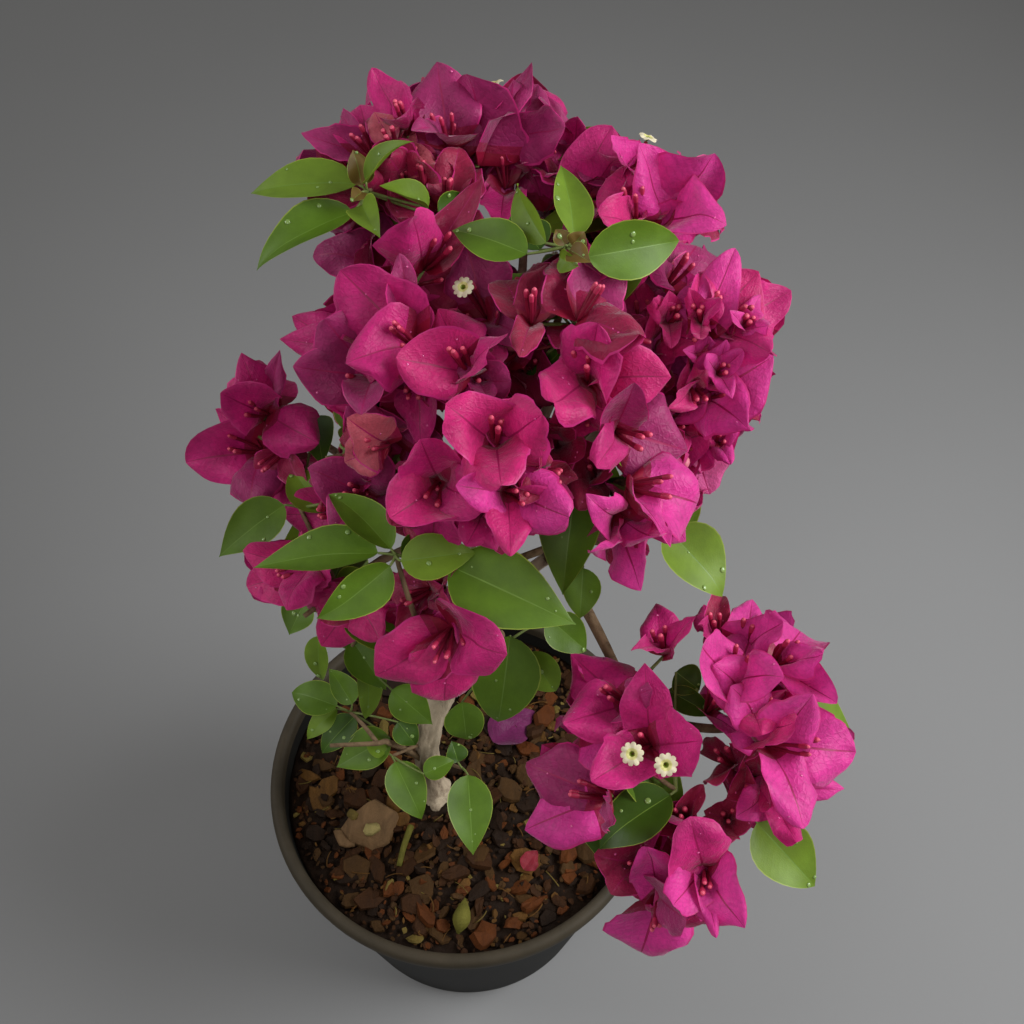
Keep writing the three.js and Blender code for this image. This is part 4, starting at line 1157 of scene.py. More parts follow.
def make_trunk(materials):
    """The trunk, flared into its roots at the foot and rounded off under the boughs."""
    low = TRUNK_PATH[0, 2]
    path = smooth_path(TRUNK_PATH, TRUNK_RINGS)
    path[:, 2] = np.maximum(path[:, 2], low)
    tip = path[-1] + unit(path[-1] - path[-2]) * TRUNK_CAP
    path = np.vstack([path, path[-1] * 0.5 + tip * 0.5, tip])
    radii = np.array([trunk_radius(at[2]) for at in path])
    radii[-2:] *= (0.8, 0.35)
    wobble = bark_wobble(path, TRUNK_SIDES, 1.1, 1.3, 3.1)
    lobes = 0.55 + 0.45 * np.cos(ring_turns(TRUNK_SIDES) * ROOTS)
    for station, at in enumerate(path):
        wobble[station] += ROOT_FLARE * math.exp(-(at[2] - low) / (FLARE_HEIGHT * 0.45)) * lobes
    wobble[-1] *= 0.2
    joined = Joined(["bark"])
    joined.add_tube(path, radii, TRUNK_SIDES, "bark", wobble)
    joined.object("trunk_bark", materials, "bark", ["trunk"])


def make_boughs(materials):
    """The boughs, each swollen where it leaves its parent, in young bark where they are thin."""
    joined = Joined(["bark", "young_bark"])
    for order, one in enumerate(BOUGHS):
        limb = LIMBS[one["name"]]
        radius = limb["radius"]
        if one["follows"]:
            before = LIMBS[one["follows"]]["path"][-1]
            path = np.vstack([before, bezier(*limb["curve"], BOUGH_STEPS - 2)])
            swell = 0
        else:
            path = bezier(*limb["curve"], BOUGH_STEPS)
            swell = np.exp(-np.arange(len(path)) / 2.5) * radius * 0.35
        radii = np.linspace(radius, limb["tip_radius"], len(path)) + swell
        wobble = bark_wobble(path, BOUGH_SIDES, 0.35, 0.35, 7.7 * order)
        kind = "bark" if radius > OLD_BARK_RADIUS else "young_bark"
        joined.add_tube(path, radii, BOUGH_SIDES, kind, wobble)
    joined.object("bough_bark", materials, "bark", [one["name"] for one in BOUGHS])


# Blades: sheets of points that start at a base and bend along their length
BRACT_ROWS = np.array([0, 0.03, 0.08, 0.15, 0.23, 0.32, 0.41, 0.5, 0.59, 0.68, 0.77, 0.85, 0.92, 0.97, 1.0])
BRACT_COLUMNS = np.array([-1, -0.95, -0.75, -0.48, -0.22, -0.03, 0.03, 0.22, 0.48, 0.75, 0.95, 1])
LEAF_ROWS = np.array([0, 0.03, 0.08, 0.15, 0.24, 0.34, 0.44, 0.54, 0.64, 0.74, 0.83, 0.9, 0.95, 0.98, 1.0])
LEAF_COLUMNS = np.array([-1, -0.965, -0.75, -0.5, -0.25, -0.02, 0.02, 0.25, 0.5, 0.75, 0.965, 1])

# The ranges that a blade is drawn from, in the order of the draws: first for a bract of the rule, then
# for one that the photograph shows, then for a leaf
RULE_RANGES = {
    "rise": (0.5, 0.66), "fall": (0.6, 0.92), "cup": (0.35, 0.8), "cup_level": (-0.12, 0.22),
    "bend": (0.3, 1.4), "roll": (0.05, 0.5), "ripple": (1.0, 2.8), "waves": (1.0, 2.2),
    "twist": (-0.7, 0.7), "phases": (0, FULL_TURN, 2), "crumple": (0.4, 1.1), "lopside": (-0.8, 0.8),
    "frill": (0.3, 1.1), "curl": (-0.9, 0.9),
}
PLACED_RANGES = {
    "rise": (0.5, 0.62), "fall": (0.58, 0.95), "cup": (0.5, 1.0), "cup_level": (-0.1, 0.3),
    "bend": (0.1, 1.0), "roll": (0.1, 0.9), "ripple": (1.2, 3.2), "waves": (1.0, 2.0),
    "twist": (-0.5, 0.5), "phases": (0, FULL_TURN, 2), "crumple": (0.5, 1.2), "lopside": (-0.9, 0.9),
    "frill": (0.4, 1.3), "curl": (-0.7, 0.9),
}
LEAF_RANGES = {
    "fall": (1.05, 1.25), "roll": (0.0, 0.12), "ripple": (0.3, 0.8), "waves": (1.0, 1.8),
    "twist": (-0.4, 0.4), "phases": (0, FULL_TURN, 2), "lopside": (-0.4, 0.4), "curl": (-0.1, 0.6),
}


def places_on(rows, columns):
    return np.stack(np.meshgrid(rows, columns, indexing="ij"), axis=-1)


BRACT_PLACES = places_on(BRACT_ROWS, BRACT_COLUMNS)
LEAF_PLACES = places_on(LEAF_ROWS, LEAF_COLUMNS)


def drawn_from(ranges, rng):
    return {name: rng.uniform(*span) for name, span in ranges.items()}


def pick(names, rng):
    return names[int(rng.integers(len(names)))]


def bent_path(base, axis, out, turns, shares, length):
    """Points at shares of a length, along a way that turns from the axis towards the outward way."""
    steps = np.diff(shares, prepend=0.0) * length
    return base + np.cumsum(circle(turns, axis, out) * steps[:, None], axis=0)


def blade_sheet(base, axis, out, rows, columns, length, width, outline, opening, cup, bend, roll, ripple,
                waves, twist, phases, crumple, lopside, curl, frill=0.0):
    """A blade's points. It leaves its base between the axis and the outward way, and bends outward.
    Its sides stand up by the cup, one more than the other by the lopside, its edges turn back by the
    roll and ripple in waves with a finer frill, its tip curls, and the whole blade is crumpled in a few
    broad swells."""
    theta = opening + bend * (rows - 0.42) + curl * np.maximum(rows - 0.55, 0) ** 2 * 5
    midrib = bent_path(base, axis, out, theta, rows, length)
    face = circle(theta, -out, axis)
    side = np.cross(axis, out)
    turn = (twist * (rows - 0.2))[:, None]
    side_here = side * np.cos(turn) + face * np.sin(turn)
    face_here = face * np.cos(turn) - side * np.sin(turn)
    half = np.maximum(outline * width / 2, 0.15)[:, None]
    taper = half / (width / 2)
    down = rows[:, None]
    phase = np.where(columns < 0, phases[0], phases[1])
    across = half * columns * (1 + frill * 0.09 * np.sin(down * 10 + phase * 2))
    lift = (np.outer(cup, columns ** 2 * (1 + lopside * columns)) - roll * columns ** 4) * half
    lift += ripple * taper * np.sin(down * waves * FULL_TURN + phase) * np.abs(columns) ** 2
    lift += frill * taper * np.sin(down * waves * 5.3 * math.pi + phase * 2.3) * np.abs(columns) ** 3
    swell = np.outer(np.sin(rows * 7.5 + phases[0]), np.sin(columns * 2.6 + phases[1]))
    swell += 0.5 * np.outer(np.sin(rows * 12 + phases[1]), np.cos(columns * 5 + phases[0]))
    lift += crumple * swell * taper
    lift += -0.35 * np.exp(-(columns / 0.12) ** 2) * taper
    return midrib[:, None] + side_here[:, None] * across[..., None] + face_here[:, None] * lift[..., None]


def blade_outline(rows, rise, fall):
    """Half widths along a blade, as shares of the widest."""
    peak = rise / (rise + fall)
    return rows ** rise * (1 - rows) ** fall / (peak ** rise * (1 - peak) ** fall)


def bract_sheet(base, axis, out, length, width, opening, rng, ranges=RULE_RANGES, cup_more=0.0,
                cup_fade=1.3):
    """A bract's points. Its cup is deepest at the base and fades towards the tip."""
    drawn = drawn_from(ranges, rng)
    for name in ("ripple", "crumple", "frill"):
        drawn[name] *= length / BRACT_LENGTH
    outline = blade_outline(BRACT_ROWS, drawn.pop("rise"), drawn.pop("fall"))
    cup = (drawn.pop("cup") + cup_more) * (1 - BRACT_ROWS) ** cup_fade + drawn.pop("cup_level")
    return blade_sheet(base, axis, out, BRACT_ROWS, BRACT_COLUMNS, length, width, outline, opening, cup,
                       **drawn)


def leaf_sheet(base, along, face, length, width, rng, droop, fold):
    """A leaf's points. It bends from its own direction away from its face."""
    drawn = drawn_from(LEAF_RANGES, rng)
    outline = blade_outline(LEAF_ROWS, 0.66, drawn.pop("fall"))
    cup = fold * (1 - 0.35 * LEAF_ROWS)
    return blade_sheet(base, along, -face, LEAF_ROWS, LEAF_COLUMNS, length, width, outline, 0.0, cup,
                       bend=droop, crumple=0.3, **drawn)


def stripes(kind, rib, edge):
    """The kinds across a blade: its own, with a midrib and two edges."""
    return [edge] + [kind] * 4 + [rib] + [kind] * 4 + [edge]


def add_bract(joined, kind, sheet):
    """A bract, darker in its first rows as painted shade towards its base, with a painted highlight along
    its edges.
    """
    # The first rows take painted shade, and the stripes give the edge columns a painted highlight
    base_shade_kinds = {0: "inner", 1: "inner", 2: "inner", 3: "deep"}
    joined.add_grid(sheet, stripes(kind, "rib", "edge"), base_shade_kinds, BRACT_PLACES)


def add_leaf(joined, kind, sheet):
    joined.add_grid(sheet, stripes(kind, "leaf_rib", "leaf_edge"), places=LEAF_PLACES)


def tube_root(site, aim, out):
    return site + aim * 0.6 + out * 0.5


def add_flower_tube(joined, base, axis, out, length, opening, rng):
    """A closed flower, a tube that swells at its tip."""
    path = bent_path(base, axis, out, opening - 0.25 * TUBE_SHARES, TUBE_SHARES, length)
    kinds = ["tube"] * 4 + ["tube_tip"] * 2 + ["tube_end"]
    joined.add_tube(path, TUBE_RADII * rng.uniform(0.85, 1.1), 7, kinds)


def add_star(joined, root, centre, site, towards_camera, rng):
    """An open flower: a slim tube that ends in five notched petals round a yellow-green throat. It faces
    away from its blossom's site, turned a little to the camera."""
    aim = unit(centre - site + (CAMERA_AT - site) * towards_camera)
    path = bezier(root, (root + centre) / 2 - aim * 2, centre - aim * 1.9, len(STAR_TUBE_RADII) - 1)
    joined.add_tube(path, STAR_TUBE_RADII, 8, "tube")
    east = side_of(aim)
    turns = np.linspace(0, FULL_TURN, STAR_SIDES + 1)
    scallop = 0.8 + 0.2 * np.abs(np.cos(STAR_LOBES * turns)) ** 0.6
    ways = circle(turns + rng.uniform(0, FULL_TURN), east, np.cross(aim, east))
    rows = []
    for reach, height in STAR_RINGS:
        edge = 1 + (scallop - 1) * max(reach - 0.3, 0) / 0.7
        lift = height + 0.3 * reach * np.cos(STAR_LOBES * turns + 1)
        rows.append(centre + ways * (STAR_RADIUS * reach * edge)[:, None] + np.outer(lift, aim))
    joined.add_grid(np.array(rows), ["petal"] * STAR_SIDES, {0: "throat", 1: "throat", 2: "pale"})


def add_drop(joined, kind, sheet, row, column, radius):
    """A drop of water on a blade: a low dome on the side that faces up."""
    at = sheet[row, column]
    normal = unit(np.cross(sheet[row + 1, column] - sheet[row - 1, column],
                           sheet[row, column + 1] - sheet[row, column - 1]))
    if normal[2] < 0:
        normal = -normal
    east = side_of(normal)
    ways = circle(ring_turns(DROP_SIDES), east, np.cross(normal, east))
    height = radius * DROP_HEIGHT
    rings = []
    for level in DROP_LEVELS:
        flat = math.sqrt(1 - level * level)
        rings.append(at + normal * (0.08 + height * level) + ways * radius * flat)
    joined.add_body(*stacked_body(rings, at + normal * 0.06, at + normal * (0.08 + height)), kind)


def scatter_drops(joined, kind, sheet, count, largest, rng):
    for _ in range(count):
        row = int(rng.integers(3, sheet.shape[0] - 3))
        column = int(rng.integers(2, sheet.shape[1] - 2))
        add_drop(joined, kind, sheet, row, column, rng.uniform(0.35, 1) * largest)


def add_buds(flowers, site, aim, rng):
    """A few closed buds on one short stalk."""
    for _ in range(3):
        way = unit(aim + rng.uniform(-0.6, 0.6, 3))
        flowers.add_tube(site + np.outer(BUD_REACHES, way), BUD_RADII, 8, ["tube"] + ["bud"] * 5)


def add_blossom(blossom, flowers, site, aim, turn, size, opening, palette, rng, stars=()):
    """Three bracts round an axis, each with its flower tube before it. Stars are the centres of its open
    flowers. It leaves out the bracts that would hide what must show, and tells how many are kept."""
    kept = 0
    east = side_of(aim)
    north = np.cross(aim, east)
    stars = list(stars)
    for petal in range(BRACTS):
        around = turn + petal * FULL_TURN / BRACTS + rng.uniform(-0.2, 0.2)
        out = square_to(swung(east, north, around), aim)
        length = BRACT_LENGTH * size * rng.uniform(0.9, 1.08)
        width = BRACT_WIDTH * size * rng.uniform(0.92, 1.15)
        kind = pick(palette, rng)
        sheet = bract_sheet(site, aim, out, length, width, opening + rng.uniform(-0.12, 0.12), rng)
        share = rng.uniform(0.48, 0.6)
        if not keeps_clear(sheet):
            continue
        kept += 1
        add_bract(blossom, kind, sheet)
        root = tube_root(site, aim, out)
        if stars:
            add_star(flowers, root, stars.pop(), site, STAR_TURN, rng)
        else:
            add_flower_tube(flowers, root, aim, out, length * share, opening * 0.78, rng)
    return kept


BRACT_KINDS = ["magenta", "rose", "purple", "bright", "pink", "deep", "crimson", "russet", "fallen_red",
               "edge", "inner", "rib"]
FLOWER_KINDS = ["tube", "tube_tip", "tube_end", "petal", "pale", "throat", "bud"]
LEAF_KINDS = ["leaf", "leaf_light", "leaf_dark", "leaf_young", "leaf_rib", "leaf_edge"]
TWIG_KINDS = ["twig", "stalk", "young_bark"]
# Palettes by region: purple and deep are painted shade, bright is painted light, magenta and rose are the
# bract colour
PALETTES = {
    "back": ["purple", "magenta", "purple", "deep"],
    "front": ["magenta", "rose", "magenta", "deep"],
    "left": ["magenta", "purple", "magenta", "rose"],
    "arch": ["bright", "magenta", "bright", "rose"],
    "skirt": ["magenta"],
}
# The masses that the key light falls on take lit copies of the bract colour: painted light
SUNLIT = ["bloom_right", "bloom_under_right"]
SUNLIT_PALETTE = ["rose", "bright", "magenta", "rose"]
LEAF_PALETTE = ["leaf", "leaf", "leaf_light", "leaf_dark"]

# The regions that are thin enough to need fewer blossoms inside
THIN_REGIONS = ("arch", "left")

# Depth in the dome, opening and size of the finer blossoms, of the young ones and of those inside
FINER = ((0.55, 0.98), (0.75, 1.1), (0.78, 1.0))
YOUNG = ((0.55, 0.98), (0.3, 0.55), (0.45, 0.65))
INSIDE = ((0.15, 0.55), (0.8, 1.2), (0.8, 1.0))


def region_of(name):
    return next(region for region, names in REGIONS.items() if name in names)


def walls_around(cluster):
    """The planes between a mass and each other one: a direction and how far along it the plane lies."""
    walls = []
    for other in MASSES:
        if other is cluster:
            continue
        towards = other["at"] - cluster["at"]
        apart = np.linalg.norm(towards)
        towards = towards / apart
        share = cluster["reach"] / (cluster["reach"] + other["reach"])
        walls.append((towards, towards @ cluster["at"] + apart * share))
    return walls


def on_spiral(count, first, drop, phase):
    """Places spread over a dome: how far each one lies along the mass's outward way, and its turn."""
    for index in range(count):
        yield first - drop * ((index + 0.5) / count), phase + index * GOLDEN_ANGLE


class Dressing:
    """The blossoms, leaves and twigs of one mass, and the meshes that they go into: first those of the
    source's rule, then the finer ones between them."""

    def __init__(self, cluster, blossom, flowers, leaves, twigs):
        self.cluster = cluster
        self.blossom = blossom
        self.flowers = flowers
        self.leaves = leaves
        self.twigs = twigs
        self.region = region_of(cluster["name"])
        self.random = draws(cluster["seed"])
        self.rng = np.random.default_rng(cluster["seed"] * 1000 + len(cluster["name"]))
        self.outward = outward_of(cluster)
        self.east = side_of(self.outward)
        self.north = np.cross(self.outward, self.east)
        self.walls = walls_around(cluster)
        self.dome = cluster["reach"] - BRACT_LENGTH * RULE_INSET
        self.closing = 0.35 if self.region == "back" else 0.2
        self.phase = self.random() * FULL_TURN

    def aim_at(self, lift, turn):
        flat = math.sqrt(max(1 - lift * lift, 0))
        return self.outward * lift + self.east * flat * math.cos(turn) + self.north * flat * math.sin(turn)

    def twig_foot(self, lift):
        return stem_point(self.cluster, (lift - LOWEST_LIFT) / (1 - LOWEST_LIFT) * 0.98)

    def has_room(self, point, slack):
        return all(towards @ point < limit + slack for towards, limit in self.walls)

    def add_stem(self):
        limb = LIMB_OF[self.cluster["name"]]
        stem = [limb["path"][-1] - limb["aim"] * 2, limb["path"][-1] + limb["aim"] * 3]
        stem += [stem_point(self.cluster, share) for share in (0, 0.5, 1)]
        self.twigs.add_twig(smooth_path(stem, 18), (TIP_RADIUS, STEM_RADIUS * 0.7), "young_bark", 10)

    def place_blossom(self, lift, turn, depth, roll, opening, size, kinds):
        rng = self.rng
        dome = self.aim_at(lift, turn)
        site = self.cluster["at"] + dome * depth
        if not self.has_room(site, 4):
            return
        aim = unit(dome + UP * BLOSSOM_RISE + rng.uniform(-0.2, 0.2, 3))
        facing_away = -0.75
        unseen = aim @ unit(CAMERA_AT - site) < facing_away
        stars = [site + aim * 14 + rng.uniform(-3, 3, 3)] if unseen and rng.random() < STAR_CHANCE else []
        if not add_blossom(self.blossom, self.flowers, site, aim, roll, size, opening, kinds, rng, stars):
            return
        path = twig_path(self.twig_foot(lift), site, rng.uniform(-3.5, 3.5, 3) + self.outward * 2)
        self.twigs.add_twig(path, BLOSSOM_TWIG, "stalk" if rng.random() < STALK_CHANCE else "twig")
        if rng.random() < BUD_CHANCE:
            add_buds(self.flowers, site - aim * 3, unit(aim + rng.uniform(-0.8, 0.8, 3)), rng)

    def place_drawn(self, lift, turn, ranges, closing, kinds):
        """A finer blossom, with its depth, roll, opening and size drawn."""
        rng = self.rng
        depths, openings, sizes = ranges
        self.place_blossom(lift, turn, self.dome * rng.uniform(*depths), rng.uniform(0, FULL_TURN),
                           rng.uniform(*openings) - closing, rng.uniform(*sizes), kinds)

    def add_blossoms(self):
        random = self.random
        count = self.cluster["blossoms"]
        lit = self.cluster["name"] in SUNLIT
        palette = SUNLIT_PALETTE if lit else PALETTES[self.region]
        for lift, turn in on_spiral(count, 1, DOME_SPREAD, self.phase):
            depth = self.dome * (0.88 + 0.24 * random())
            roll = random() * FULL_TURN
            opening = OPENING + 0.3 * random() - self.closing
            size = 0.92 + 0.16 * random()
            self.place_blossom(lift, turn, depth, roll, opening, size * 0.97, palette)
        for lift, turn in on_spiral(round(count * 1.5), 0.94, 1.5, self.phase + 1.2):
            # Young blossoms are crimson, their own colour, and deep, painted shade
            if self.rng.random() < YOUNG_CHANCE:
                self.place_drawn(lift, turn, YOUNG, 0, ["crimson", "deep"])
            else:
                self.place_drawn(lift, turn, FINER, self.closing, palette)
        inside = count if self.region in THIN_REGIONS else count + 4
        # Inside lit masses and the arch the inner blossoms are rose; elsewhere they are deep, painted shade
        inner_kind = "rose" if lit or self.region == "arch" else "deep"
        for lift, turn in on_spiral(inside, 0.96, 1.6, self.phase + 2.4):
            self.place_drawn(lift, turn, INSIDE, self.closing, [inner_kind, *palette])

    def place_leaf(self, lift, turn, root_share, rise, size, kind):
        rng = self.rng
        aim = self.aim_at(lift, turn)
        root = self.cluster["at"] + aim * self.cluster["reach"] * root_share
        if not self.has_room(root, 2):
            return
        along = unit(aim + UP * rise)
        face = unit(np.cross(along, side_of(along)))
        if face[2] < 0:
            face = -face
        if self.cluster["name"] == "leaves_low_shoot":
            size *= LOW_LEAF_SIZE
        width = LEAF_WIDTH * size * rng.uniform(0.95, 1.15)
        droop = rng.uniform(0.2, 0.8)
        sheet = leaf_sheet(root, along, face, LEAF_LENGTH * size, width, rng, droop, rng.uniform(0.15, 0.5))
        if not keeps_clear(sheet):
            return
        add_leaf(self.leaves, kind, sheet)
        self.twigs.add_twig(twig_path(self.twig_foot(lift), root, rng.uniform(-3, 3, 3)), LEAF_TWIG)

    def add_leaves(self):
        rng = self.rng
        count = self.cluster["leaves"]
        rise = (0.35 if self.cluster["blossoms"] else 0.9) - LOWEST_LIFT
        for lift, turn in on_spiral(count, LOWEST_LIFT, -rise, self.phase + 1):
            turn += self.random() * 0.6
            self.place_leaf(lift, turn, 0.3, -0.15 + 0.3 * self.random(), rng.uniform(0.9, 1.05),
                            pick(LEAF_PALETTE, rng))
        for lift, turn in on_spiral(count + 2, LOWEST_LIFT, -rise, self.phase + 2.2):
            self.place_leaf(lift, turn, rng.uniform(0.15, 0.42), rng.uniform(-0.25, 0.2),
                            rng.uniform(0.6, 0.95), pick(LEAF_PALETTE, rng))


def neighbours():
    """Pairs of masses of blossom whose domes meet, and how far apart they are."""
    blooming = [each for each in MASSES if each["blossoms"]]
    for index, first in enumerate(blooming):
        for second in blooming[index + 1:]:
            apart = np.linalg.norm(first["at"] - second["at"])
            if apart < (first["reach"] + second["reach"]) * 1.05:
                yield first, second, apart


def fill_seams(blossoms, flowers, twigs):
    """Two blossoms over each seam between two masses, so that the crown closes."""
    rng = np.random.default_rng(41)
    for first, second, apart in neighbours():
        towards = (second["at"] - first["at"]) / apart
        seam = first["at"] + towards * apart * first["reach"] / (first["reach"] + second["reach"])
        outward = square_to(unit(seam - (first["heart"] + second["heart"]) / 2), towards)
        across = np.cross(towards, outward)
        region = region_of(first["name"])
        for side in (-0.4, 0.4):
            out = unit(outward + across * (side + rng.uniform(-0.15, 0.15)))
            site = seam + out * min(first["reach"], second["reach"]) * rng.uniform(0.42, 0.62)
            kept = add_blossom(blossoms[region], flowers, site, unit(out + UP * 0.2),
                               rng.uniform(0, FULL_TURN), rng.uniform(0.8, 1.0), rng.uniform(0.5, 0.85),
                               PALETTES[region], rng)
            if kept:
                twigs.add_twig(twig_path(stem_point(first, 0.7), site, outward * 2), BLOSSOM_TWIG)


def placed_bract(base, axis, tip, size, wide, side_seen, rng):
    """A bract from its blossom's base to a tip, its face towards the blossom's axis and, unless it is
    narrow, turned to be seen by the camera."""
    way = unit(tip - base)
    camera = square_to(unit(CAMERA_AT - base), way)
    inner = square_to(axis + camera * 0.2, way)
    if side_seen < 0 or inner @ camera < -0.35:
        camera = -camera
    face = square_to(inner * 0.5 + camera * (0.55 if wide > 0.65 else 0.1), way)
    opening = max(angle_between(way, axis), 0.3)
    length = np.linalg.norm(tip - base) * BLADE_TO_CHORD
    width = BRACT_WIDTH * 0.95 * size * wide * (length / (BRACT_LENGTH * size)) ** 0.5
    return bract_sheet(base, swung(way, face, opening), swung(-face, way, opening), length, width, opening,
                       rng, PLACED_RANGES, (1 - min(wide, 1)) * 1.1, 1)


def back_blooms(seats, blossoms, flowers):
    """One or two blossoms behind each placed one, whose bracts show between those of the placed ones."""
    rng = np.random.default_rng(77)
    for region, base, axis, size, kinds in seats:
        # Behind a lit blossom stand rose ones; behind the rest stand deep ones, painted shade
        behind = "rose" if "bright" in kinds else "deep"
        for back in (5,) if region in THIN_REGIONS else (5, 13):
            aim = unit(axis + rng.uniform(-0.5, 0.5, 3))
            add_blossom(blossoms[region], flowers, base - axis * back + rng.uniform(-3, 3, 3), aim,
                        rng.uniform(0, FULL_TURN), size * rng.uniform(0.72, 0.92), rng.uniform(0.85, 1.3),
                        [behind, *kinds], rng)


def place_blooms(blossoms, flowers, twigs, drops):
    """The blossoms that the photograph shows, on the masses that carry them. It tells where they sit."""
    seats = []
    for order, one in enumerate(BLOOMS):
        rng = np.random.default_rng(500 + order)
        crown = MASS_NAMED[one["crown"]]
        region = region_of(one["crown"])
        size = one["size"]
        base = on_dome(crown, one["base"], one["near"])
        outward = unit(base - crown["heart"])
        facing = outward * 0.6 + unit(CAMERA_AT - base) * 0.8
        ways = (unit(each - base) for each in reached(base, one["aim"], BRACT_LENGTH * size * 0.6))
        axis = max(ways, key=lambda way: way @ facing)
        stars = [reached(base, pixel, STAR_REACH * size)[0] for pixel in one["stars"]]
        for x, y, wide, side_seen in one["tips"]:
            tip = min(reached(base, (x, y), BRACT_LENGTH * size),
                      key=lambda each: abs(angle_between(unit(each - base), axis) - 1.0))
            sheet = placed_bract(base, axis, tip, size, wide, side_seen, rng)
            PLACED.mark(sheet)
            add_bract(blossoms[region], pick(one["kinds"], rng), sheet)
            scatter_drops(drops, "dew_bract", sheet, int(rng.integers(0, 4)), 0.5, rng)
        east = side_of(axis)
        for petal in range(BRACTS):
            around = rng.uniform(-0.3, 0.3) + petal * FULL_TURN / BRACTS
            out = swung(east, np.cross(axis, east), around)
            root = tube_root(base, axis, out)
            if stars:
                add_star(flowers, root, stars.pop(), base, one["star_turn"], rng)
            else:
                add_flower_tube(flowers, root, axis, out, BRACT_LENGTH * size * rng.uniform(0.5, 0.62),
                                rng.uniform(0.15, 0.4), rng)
        twigs.add_twig(twig_path(stem_point(crown, 0.6), base, outward * 3), PLACED_TWIG)
        seats.append((region, base, axis, size, one["kinds"]))
    return seats


def place_sprigs(leaves, twigs, drops):
    """The leafy shoots that the photograph shows, each leaf on its own petiole."""
    for order, one in enumerate(SPRIGS):
        rng = np.random.default_rng(700 + order)
        hub = seen_at(one["hub"], one["height"])
        foot = stem_point(MASS_NAMED[one["crown"]], one["share"])
        if one["trunk_height"]:
            foot = trunk_point(one["trunk_height"])
        twigs.add_twig(twig_path(foot, hub, rng.uniform(-2, 2, 3), 10), SHOOT_TWIG, "young_bark", 8)
        for each in one["blades"]:
            base = seen_at(each["base"], each["heights"][0])
            tip = seen_at(each["tip"], each["heights"][1])
            along = unit(tip - base)
            face = square_to(unit(CAMERA_AT - base) * 0.8 + UP * 0.4, along)
            face = swung(face, np.cross(along, face), each["lean"])
            twigs.add_twig(twig_path(hub, base, along * -1.0, 5), PETIOLE)
            length = np.linalg.norm(tip - base) * BLADE_TO_CHORD
            width = each["width"] * 0.97
            sheet = leaf_sheet(base, along, face, length, width, rng, 0.45, each["fold"] + 0.12)
            PLACED.mark(sheet)
            add_leaf(leaves[region_of(one["crown"])], each["kind"], sheet)
            scatter_drops(drops, "dew_leaf", sheet, round(each["width"] * 0.11), 1.25, rng)


def make_crown(materials):
    """The crown. What the photograph shows comes first, so that the rest can keep clear of it."""
    twigs = Joined(TWIG_KINDS)
    flowers = Joined(FLOWER_KINDS)
    drops = Joined(["dew_leaf", "dew_bract"])
    blossoms = {region: Joined(BRACT_KINDS) for region in REGIONS}
    leaves = {region: Joined(LEAF_KINDS) for region in REGIONS}
    seats = place_blooms(blossoms, flowers, twigs, drops)
    place_sprigs(leaves, twigs, drops)
    back_blooms(seats, blossoms, flowers)
    for region, names in REGIONS.items():
        for name in names:
            dressing = Dressing(MASS_NAMED[name], blossoms[region], flowers, leaves[region], twigs)
            dressing.add_stem()
            if dressing.cluster["blossoms"]:
                dressing.add_blossoms()
            dressing.add_leaves()
    fill_seams(blossoms, flowers, twigs)
    for region, names in REGIONS.items():
        if blossoms[region].count:
            blossoms[region].object("bracts_" + region, materials, "bracts", names)
        leaves[region].object("leaves_" + region, materials, "leaves", names)
    flowers.object("flower_tubes", materials, "bracts")
    twigs.object("twigs", materials, "bark")
    drops.object("dew", materials, "leaves")


# Pot: a smooth lathe of the source's profile, with its collar rounded
def pot_inner_radius(height):
    share = min(height / SHOULDER_HEIGHT, 1)
    return FOOT_RADIUS + (SHOULDER_RADIUS - FOOT_RADIUS) * share - WALL


def lathe(profile, sides):
    """A profile of radii and heights, turned once round the upright axis."""
    radii, heights = np.array(profile, float).T
    turns = np.linspace(0, FULL_TURN, sides + 1)
    return np.stack([np.outer(radii, np.sin(turns)), -np.outer(radii, np.cos(turns)),
                     np.outer(heights, np.ones(len(turns)))], axis=-1)


def weld(piece):
    """Join the points that lie on each other, and turn all faces outward."""
    mesh = bmesh.new()
    mesh.from_mesh(piece.data)
    bmesh.ops.remove_doubles(mesh, verts=mesh.verts, dist=1e-6)
    bmesh.ops.recalc_face_normals(mesh, faces=mesh.faces)
    mesh.to_mesh(piece.data)
    mesh.free()


def make_pot(materials):
    """The pot's shell, from the middle of its underside round its collar to the middle of its floor."""
    axis_radius = 0.05
    profile = [(axis_radius, 0), (40, 0), (FOOT_RADIUS - 2.5, 0), (FOOT_RADIUS - 0.7, 0.7)]
    for share in np.linspace(0, 1, 16):
        radius = FOOT_RADIUS + (SHOULDER_RADIUS - FOOT_RADIUS) * share
        profile.append((radius, 2.5 + (SHOULDER_HEIGHT - 2.5) * share))
    profile += [(RIM_RADIUS - inset, SHOULDER_HEIGHT + rise)
                for inset, rise in ((3.4, 0.2), (2, 1), (1.1, 2.4), (0.5, 5))]
    profile.append((RIM_RADIUS, POT_HEIGHT - 5))
    for turn in np.linspace(0, math.pi, 9):
        profile.append((RIM_RADIUS - 3.6 + 3.5 * math.cos(turn), POT_HEIGHT - 3.4 + 3.4 * math.sin(turn)))
    profile.append((RIM_RADIUS - 7.4, POT_HEIGHT - 8))
    profile.append((pot_inner_radius(SHOULDER_HEIGHT), SHOULDER_HEIGHT - 2))
    for height in np.linspace(SHOULDER_HEIGHT - 8, POT_FLOOR, 12):
        profile.append((pot_inner_radius(height), height))
    profile += [(40, POT_FLOOR), (axis_radius, POT_FLOOR)]
    sides = 160
    collar = {row: "pot_rim" for row in range(len(profile) - 1)
              if min(profile[row][1], profile[row + 1][1]) > SHOULDER_HEIGHT}
    joined = Joined(["pot", "pot_rim"])
    joined.add_grid(lathe(profile, sides), ["pot"] * sides, collar)
    weld(joined.object("pot_shell", materials, "pot_plastic", ["pot"]))


